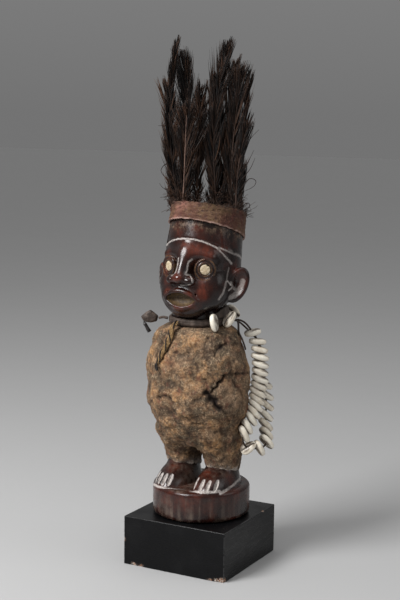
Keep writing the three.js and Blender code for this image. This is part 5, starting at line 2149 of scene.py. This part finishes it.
@dataclass(frozen=True)
class PatinatedWood:
    """Dark oiled wood, red where it is handled, with white clay in its lines."""

    dark: tuple = (0.010, 0.0048, 0.0042)
    red: tuple = (0.115, 0.023, 0.011)
    clay: tuple = (0.50, 0.44, 0.41)
    dust: tuple = (0.125, 0.092, 0.072)
    hollow: tuple = (0.17, 0.11, 0.05)

    def build(self) -> Material:
        """Makes the material.

        Returns:
            The finish.
        """
        g = Graph("patinated_wood")
        cloud, grain = g.noise(14, 5), g.noise(2.2, 6, 0.6, (1, 1, 0.16), 0.4)
        speck = g.noise(1.4, 4, 0.7)
        worn = g.times(g.mask("worn"), g.spread(cloud, 0.32, 0.66, 0.3, 1.15))
        worn = g.plus(worn, g.spread(cloud, 0.48, 0.75, 0.0, 0.30))
        worn = g.times(worn, g.spread(grain, 0.25, 0.65, 0.55, 1.1))
        g.colour = g.mix(worn, self.dark, self.red)
        inside = g.mix(g.spread(speck, 0.35, 0.65), self.hollow, (0.045, 0.026, 0.014))
        g.lay(g.times(g.mask("hollow"), 0.9), inside)
        dusty = g.times(g.mask("dust"), g.spread(g.noise(5, 5, 0.65), 0.3, 0.62, 0.15, 1.0))
        g.lay(dusty, self.dust)
        smear = g.times(g.mask("smear"), g.spread(g.noise(4, 5, 0.65), 0.36, 0.6, 0.1, 0.95))
        g.lay(smear, g.mix(g.spread(speck, 0.4, 0.62), (0.045, 0.026, 0.015), (0.20, 0.13, 0.085)))
        gold = g.times(g.mask("gold"), g.spread(speck, 0.35, 0.6, 0.2, 1.0))
        g.lay(gold, (0.24, 0.125, 0.055))
        clay = g.times(g.mask("clay"), g.spread(speck, 0.3, 0.56, 0.35, 1.0))
        g.lay(clay, g.mix(g.noise(3), self.clay, (0.72, 0.67, 0.63)))
        rough = g.spread(g.noise(6, 6, 0.6), 0.3, 0.75, 0.14, 0.36)
        rough = g.most(rough, g.times(clay, 0.8))
        rough = g.most(rough, g.times(g.plus(dusty, smear), 0.7))
        rough = g.most(rough, g.times(g.mask("hollow"), 0.6))
        height = g.plus(g.times(grain, 0.35), g.times(clay, 0.5))
        height = g.plus(height, g.times(cloud, 0.3))
        return g.finish(rough, height, 0.28, Specular_IOR_Level=0.42)


@dataclass(frozen=True)
class BakedEarth:
    """Crusted earth in tans, greys and red flecks, quite matt, with painted shade in its cracks, hollows and
    low spots and painted highlight on its lit left edge.
    """

    tan: tuple = (0.60, 0.315, 0.125)
    grey: tuple = (0.250, 0.155, 0.092)
    olive: tuple = (0.105, 0.080, 0.052)
    pale: tuple = (0.62, 0.45, 0.29)
    red: tuple = (0.25, 0.088, 0.052)
    dark: tuple = (0.022, 0.014, 0.011)

    def build(self) -> Material:
        """Makes the material.

        Returns:
            The finish.
        """
        g = Graph("baked_earth")
        broad, middle, fine = g.noise(24, 4, 0.6), g.noise(6.5, 5, 0.65, bend=0.6), g.noise(1.8, 4, 0.7)
        # The tan mask warms the colour; on the lit left edge and the lower legs it is painted highlight.
        warm = g.plus(g.spread(broad, 0.35, 0.68, 0, 0.75), g.times(g.mask("tan"), 0.85))
        warm = g.times(warm, g.spread(middle, 0.28, 0.6, 0.3, 1.15))
        g.colour = g.mix(warm, self.grey, self.tan)
        under = g.mix(g.spread(g.noise(11, 3), 0.4, 0.6), (0.19, 0.098, 0.045), (0.110, 0.080, 0.048))
        g.colour = g.mix(g.times(g.mask("layer"), 0.85), under, g.colour)
        g.lay(g.times(g.mask("grey"), 0.8), (0.30, 0.20, 0.135))
        stain = g.spread(g.noise(13, 5, 0.62, bend=0.8), 0.47, 0.6, 0, 0.8)
        g.lay(g.times(stain, g.spread(middle, 0.3, 0.55, 0.45, 1)), self.olive)
        grit, clods = g.noise(0.75, 3, 0.75), g.cells(2.7)
        g.lay(g.spread(grit, 0.53, 0.66, 0, 0.75), self.pale)
        # Painted shade: darker where the grit and the seams between clods sink in the bump.
        g.lay(g.spread(grit, 0.45, 0.35, 0, 0.55), (0.045, 0.027, 0.019))
        g.lay(g.spread(clods, 0.6, 0.95, 0, 0.4), (0.05, 0.03, 0.021))
        g.lay(g.spread(fine, 0.53, 0.64, 0, 0.6), self.pale)
        # Painted shade where the fine relief sinks.
        g.lay(g.spread(fine, 0.46, 0.34, 0, 0.75), (0.045, 0.028, 0.020))
        redness = g.plus(g.spread(g.noise(9, 4, 0.6), 0.53, 0.66, 0, 0.75), g.mask("red"))
        g.lay(g.times(redness, g.spread(middle, 0.4, 0.62, 0.1, 0.9)), self.red)
        # Painted shade where the middle relief sinks.
        g.lay(g.spread(middle, 0.42, 0.30, 0, 0.55), (0.045, 0.028, 0.02))
        # Painted shade in the cavities of the relief.
        g.lay(g.times(g.mask("cavity"), 0.85), (0.048, 0.028, 0.018))
        # The dark mask is painted shade in the cracks, hollows and creases, between the legs and on the right
        # leg's shaded side.
        g.lay(g.mask("dark"), self.dark)
        fringe = g.times(g.mask("pale"), g.spread(fine, 0.35, 0.6, 0.3, 1))
        g.lay(fringe, (0.48, 0.44, 0.41))
        height = g.plus(g.times(middle, 0.5), g.times(fine, 0.4))
        height = g.plus(height, g.times(grit, 0.16))
        height = g.math(Blend.TAKE, height, g.times(clods, 0.14))
        return g.finish(g.spread(fine, 0.3, 0.7, 0.7, 0.97), height, 2.2, Specular_IOR_Level=0.3)


@dataclass(frozen=True)
class CrustedHide:
    """Dried hide under a red-brown crust, with a chalky pink lower edge."""

    brown: tuple = (0.145, 0.085, 0.042)
    red: tuple = (0.075, 0.022, 0.014)
    chalk: tuple = (0.46, 0.30, 0.25)

    def build(self) -> Material:
        """Makes the material.

        Returns:
            The finish.
        """
        g = Graph("crusted_hide")
        broad, middle, fine = g.noise(12, 4), g.noise(3.4, 5, 0.7), g.noise(1.1, 4, 0.75)
        share = g.plus(g.spread(broad, 0.4, 0.66, 0, 0.6), g.times(g.mask("tan"), 0.8))
        g.colour = g.mix(g.times(share, g.spread(middle, 0.3, 0.6, 0.3, 1.1)), self.red, self.brown)
        g.lay(g.spread(fine, 0.54, 0.7, 0, 0.6), (0.36, 0.20, 0.12))
        # Painted shade in the crevices where the middle relief sinks.
        g.lay(g.spread(middle, 0.46, 0.32, 0, 0.85), (0.028, 0.013, 0.010))
        g.lay(g.times(g.mask("pink"), g.spread(fine, 0.3, 0.55, 0.2, 0.9)), (0.50, 0.22, 0.17))
        g.lay(g.times(g.mask("chalk"), g.spread(middle, 0.25, 0.5, 0.5, 1)), self.chalk)
        g.lay(g.times(g.mask("inner"), 0.85), (0.030, 0.018, 0.013))
        height = g.plus(g.times(middle, 0.55), g.times(fine, 0.4))
        return g.finish(g.spread(middle, 0.3, 0.7, 0.5, 0.85), height, 1.8, Specular_IOR_Level=0.35)


@dataclass(frozen=True)
class Plume:
    """Worn black-brown barbs on a pale or dark quill."""

    black: tuple = (0.0036, 0.0029, 0.0029)
    brown: tuple = (0.080, 0.039, 0.022)

    def build(self) -> Material:
        """Makes the material.

        Returns:
            The finish.
        """
        g = Graph("plume")
        vary = g.noise(7, 3, 0.6, (1, 1, 0.3))
        tint = g.times(g.mask("brown"), g.spread(vary, 0.3, 0.65, 0.2, 1.2))
        g.colour = g.mix(tint, self.black, self.brown)
        g.lay(g.mask("pale"), (0.38, 0.24, 0.19))
        rough = g.spread(vary, 0.3, 0.7, 0.42, 0.7)
        return g.finish(rough, g.noise(0.5, 2, 0.6, (1, 1, 0.2)), 0.1, Specular_IOR_Level=0.18)


@dataclass(frozen=True)
class CowryShell:
    """Handled cream shell, brown where the back is cut away, with painted shade in its slit and on the faces
    that turn to its neighbours.
    """

    cream: tuple = (0.92, 0.86, 0.74)

    def build(self) -> Material:
        """Makes the material.

        Returns:
            The finish.
        """
        g = Graph("cowry_shell")
        cloud, fine = g.noise(5, 4), g.noise(1.1, 4, 0.7)
        age = g.times(g.mask("age"), 0.55)
        g.colour = g.mix(g.times(age, g.spread(cloud, 0.3, 0.6)), self.cream, (0.55, 0.43, 0.29))
        g.lay(g.spread(fine, 0.58, 0.75, 0, 0.5), (0.36, 0.25, 0.15))
        # Brown on the cut-away back, and painted shade on the faces that turn towards the neighbouring
        # shells.
        g.lay(g.times(g.mask("cut"), g.spread(fine, 0.3, 0.6, 0.6, 1)), (0.10, 0.062, 0.038))
        # Painted shade in the slit's opening.
        g.lay(g.mask("slit"), (0.020, 0.012, 0.008))
        rough = g.spread(fine, 0.3, 0.7, 0.2, 0.45)
        return g.finish(rough, g.plus(cloud, fine), 0.16, Coat_Weight=0.25, Coat_Roughness=0.15)


@dataclass(frozen=True)
class InlayShell:
    """The cream discs of the eyes, with dark pits."""

    cream: tuple = (0.42, 0.33, 0.21)

    def build(self) -> Material:
        """Makes the material.

        Returns:
            The finish.
        """
        g = Graph("inlay_shell")
        cloud, pits = g.noise(2.4, 4), g.noise(0.9, 3, 0.7)
        g.colour = g.mix(g.spread(cloud, 0.4, 0.68), self.cream, (0.60, 0.50, 0.36))
        g.lay(g.spread(pits, 0.40, 0.28, 0, 0.9), (0.10, 0.065, 0.03))
        return g.finish(g.spread(cloud, 0.3, 0.7, 0.3, 0.6), pits, 0.35, Specular_IOR_Level=0.5)


@dataclass(frozen=True)
class OldLeather:
    """Stiff dark leather, rubbed paler on its edges."""

    grey: float = 0.0
    dark: bool = False

    def build(self) -> Material:
        """Makes the material.

        Returns:
            The finish.
        """
        g = Graph("old_leather")
        creases, fine = g.cells(2.6), g.noise(0.9, 4, 0.65)
        grey = self.grey
        low = (0.027 + 0.05 * grey, 0.016 + 0.042 * grey, 0.011 + 0.036 * grey)
        low = (0.010, 0.008, 0.008) if self.dark else low
        high = (0.035, 0.028, 0.026) if self.dark else (0.13, 0.095, 0.075)
        share = g.times(g.mask("edge"), g.spread(g.noise(5, 4), 0.35, 0.7, 0.1, 1))
        g.colour = g.mix(share, low, high)
        g.lay(g.spread(fine, 0.6, 0.75, 0, 0.4), (0.24, 0.18, 0.14) if not self.dark else high)
        height = g.plus(g.times(creases, 0.6), g.times(fine, 0.4))
        rough = g.spread(fine, 0.3, 0.7, *((0.25, 0.5) if self.dark else (0.5, 0.85)))
        return g.finish(rough, height, 0.45, Specular_IOR_Level=0.45)


@dataclass(frozen=True)
class StrawFibre:
    """Dry plant fibre, and the black cord wound round it."""

    straw: tuple = (0.36, 0.235, 0.105)

    def build(self) -> Material:
        """Makes the material.

        Returns:
            The finish.
        """
        g = Graph("straw_fibre")
        vary = g.noise(2, 4, 0.65)
        g.colour = g.mix(g.spread(vary, 0.35, 0.65), self.straw, (0.16, 0.09, 0.04))
        g.lay(g.mask("black"), g.mix(g.noise(1), (0.008, 0.006, 0.006), (0.03, 0.024, 0.022)))
        return g.finish(g.spread(vary, 0.3, 0.7, 0.55, 0.9), g.noise(0.5, 3), 0.3, Specular_IOR_Level=0.3)


@dataclass(frozen=True)
class TwistedCord:
    """Dark two-ply cord, with painted shade: paler on the crown of each ply, darker in the grooves between
    them.
    """

    def build(self) -> Material:
        """Makes the material.

        Returns:
            The finish.
        """
        g = Graph("twisted_cord")
        # Painted shade: darker in the grooves between the plies.
        g.colour = g.mix(g.mask("ply"), (0.060, 0.042, 0.032), (0.012, 0.009, 0.008))
        g.lay(g.spread(g.noise(3), 0.5, 0.75, 0, 0.5), (0.13, 0.09, 0.06))
        rough = g.spread(g.noise(1), 0.3, 0.7, 0.65, 0.95)
        return g.finish(rough, g.noise(0.4, 3), 0.25, Specular_IOR_Level=0.3)


@dataclass(frozen=True)
class BlackLacquer:
    """Satin black lacquer with dust, fine rubs and chipped edges."""

    def build(self) -> Material:
        """Makes the material.

        Returns:
            The finish.
        """
        g = Graph("black_lacquer")
        dust, rub = g.noise(30, 5, 0.6), g.noise(3, 5, 0.6, (0.12, 0.12, 1))
        g.colour = g.mix(g.spread(dust, 0.45, 0.8, 0, 0.6), (0.003, 0.003, 0.0034), (0.009, 0.009, 0.0098))
        g.lay(g.spread(g.noise(0.9, 3), 0.7, 0.8, 0, 0.5), (0.06, 0.06, 0.06))
        g.lay(g.times(g.mask("edge"), g.spread(rub, 0.35, 0.6, 0.1, 0.6)), (0.10, 0.10, 0.10))
        bare = g.mix(g.spread(g.noise(1.6, 3), 0.4, 0.6), (0.60, 0.52, 0.45), (0.26, 0.10, 0.04))
        g.lay(g.times(g.mask("chip"), g.spread(g.noise(2, 4), 0.38, 0.52)), bare)
        rough = g.plus(g.spread(rub, 0.3, 0.7, 0.22, 0.36), g.times(g.mask("chip"), 0.5))
        return g.finish(rough, g.plus(rub, g.noise(0.8, 3)), 0.05, Specular_IOR_Level=0.17)


# The studio


@dataclass(frozen=True)
class Softbox:
    """One soft area light that looks at the figure."""

    azimuth: float
    elevation: float
    reach: float
    size: float
    watts: float

    def build(self, number: int) -> None:
        """Makes the light.

        Args:
            number: Ends the light's name.
        """
        away = Vector(outward(self.azimuth, self.elevation))
        data = bpy.data.lights.new(f"softbox_{number}", "AREA")
        data.shape, data.size, data.energy = "SQUARE", self.size, self.watts
        made = placed(f"softbox_{number}", data)
        made.location = Vector((0, 0, 0.26)) + away * self.reach
        made.rotation_euler = away.to_track_quat("Z", "Y").to_euler()


@dataclass(frozen=True)
class Studio:
    """A plain pale floor under soft light."""

    lights: tuple = (
        Softbox(-24, 38, 1.5, 0.6, 29), Softbox(100, 25, 1.7, 0.9, 3), Softbox(20, 80, 1.6, 0.9, 5),
    )
    floor: tuple = (0.43, 0.43, 0.43)
    air: tuple = (0.17, 0.42)

    def build(self) -> None:
        """Makes the floor, the lights and the surrounding light."""
        mesh = bpy.data.meshes.new("floor")
        reach = 12.0
        mesh.from_pydata([(-reach, -reach, 0), (reach, -reach, 0), (reach, reach, 0), (-reach, reach, 0)], [],
                         [(0, 1, 2, 3)])
        made = placed("floor", mesh)
        g = Graph("pale_floor")
        g.colour = g.mix(g.noise(400, 2), self.floor, tuple(c * 1.03 for c in self.floor))
        mesh.materials.append(g.finish(g.spread(g.noise(60, 3), 0, 1, 0.7, 0.85), g.noise(4, 2), 0.02))
        world = bpy.data.worlds.new("air")
        world.use_nodes = True
        tree = world.node_tree
        split = tree.nodes.new("ShaderNodeSeparateXYZ")
        tree.links.new(tree.nodes.new("ShaderNodeTexCoord").outputs["Generated"], split.inputs[0])
        rise = tree.nodes.new("ShaderNodeMapRange")
        rise.inputs["From Max"].default_value = 0.8
        rise.inputs["To Min"].default_value, rise.inputs["To Max"].default_value = self.air
        tree.links.new(split.outputs["Z"], rise.inputs["Value"])
        tree.links.new(rise.outputs[0], tree.nodes["Background"].inputs["Strength"])
        tree.nodes["Background"].inputs["Color"].default_value = (1, 1, 1, 1)
        bpy.context.scene.world = world
        bpy.context.scene.view_settings.view_transform = "Standard"
        for number, light in enumerate(self.lights, 1):
            light.build(number)


def main() -> None:
    """Builds the camera, the figure and the studio in order."""
    logging.basicConfig(level=logging.INFO, format="%(message)s")
    LENS.build()
    ShellStrand().build()
    CarvedFigure().build()
    for side, name in ((1, "left"), (-1, "right")):
        EyeInlay(side, name).build()
    EarthCoat().build()
    HideCrown().build()
    FeatherFan().build()
    NeckLeather().build()
    FibreTwist().build()
    BlackPlinth().build()
    Studio().build()


if __name__ == "__main__":
    main()
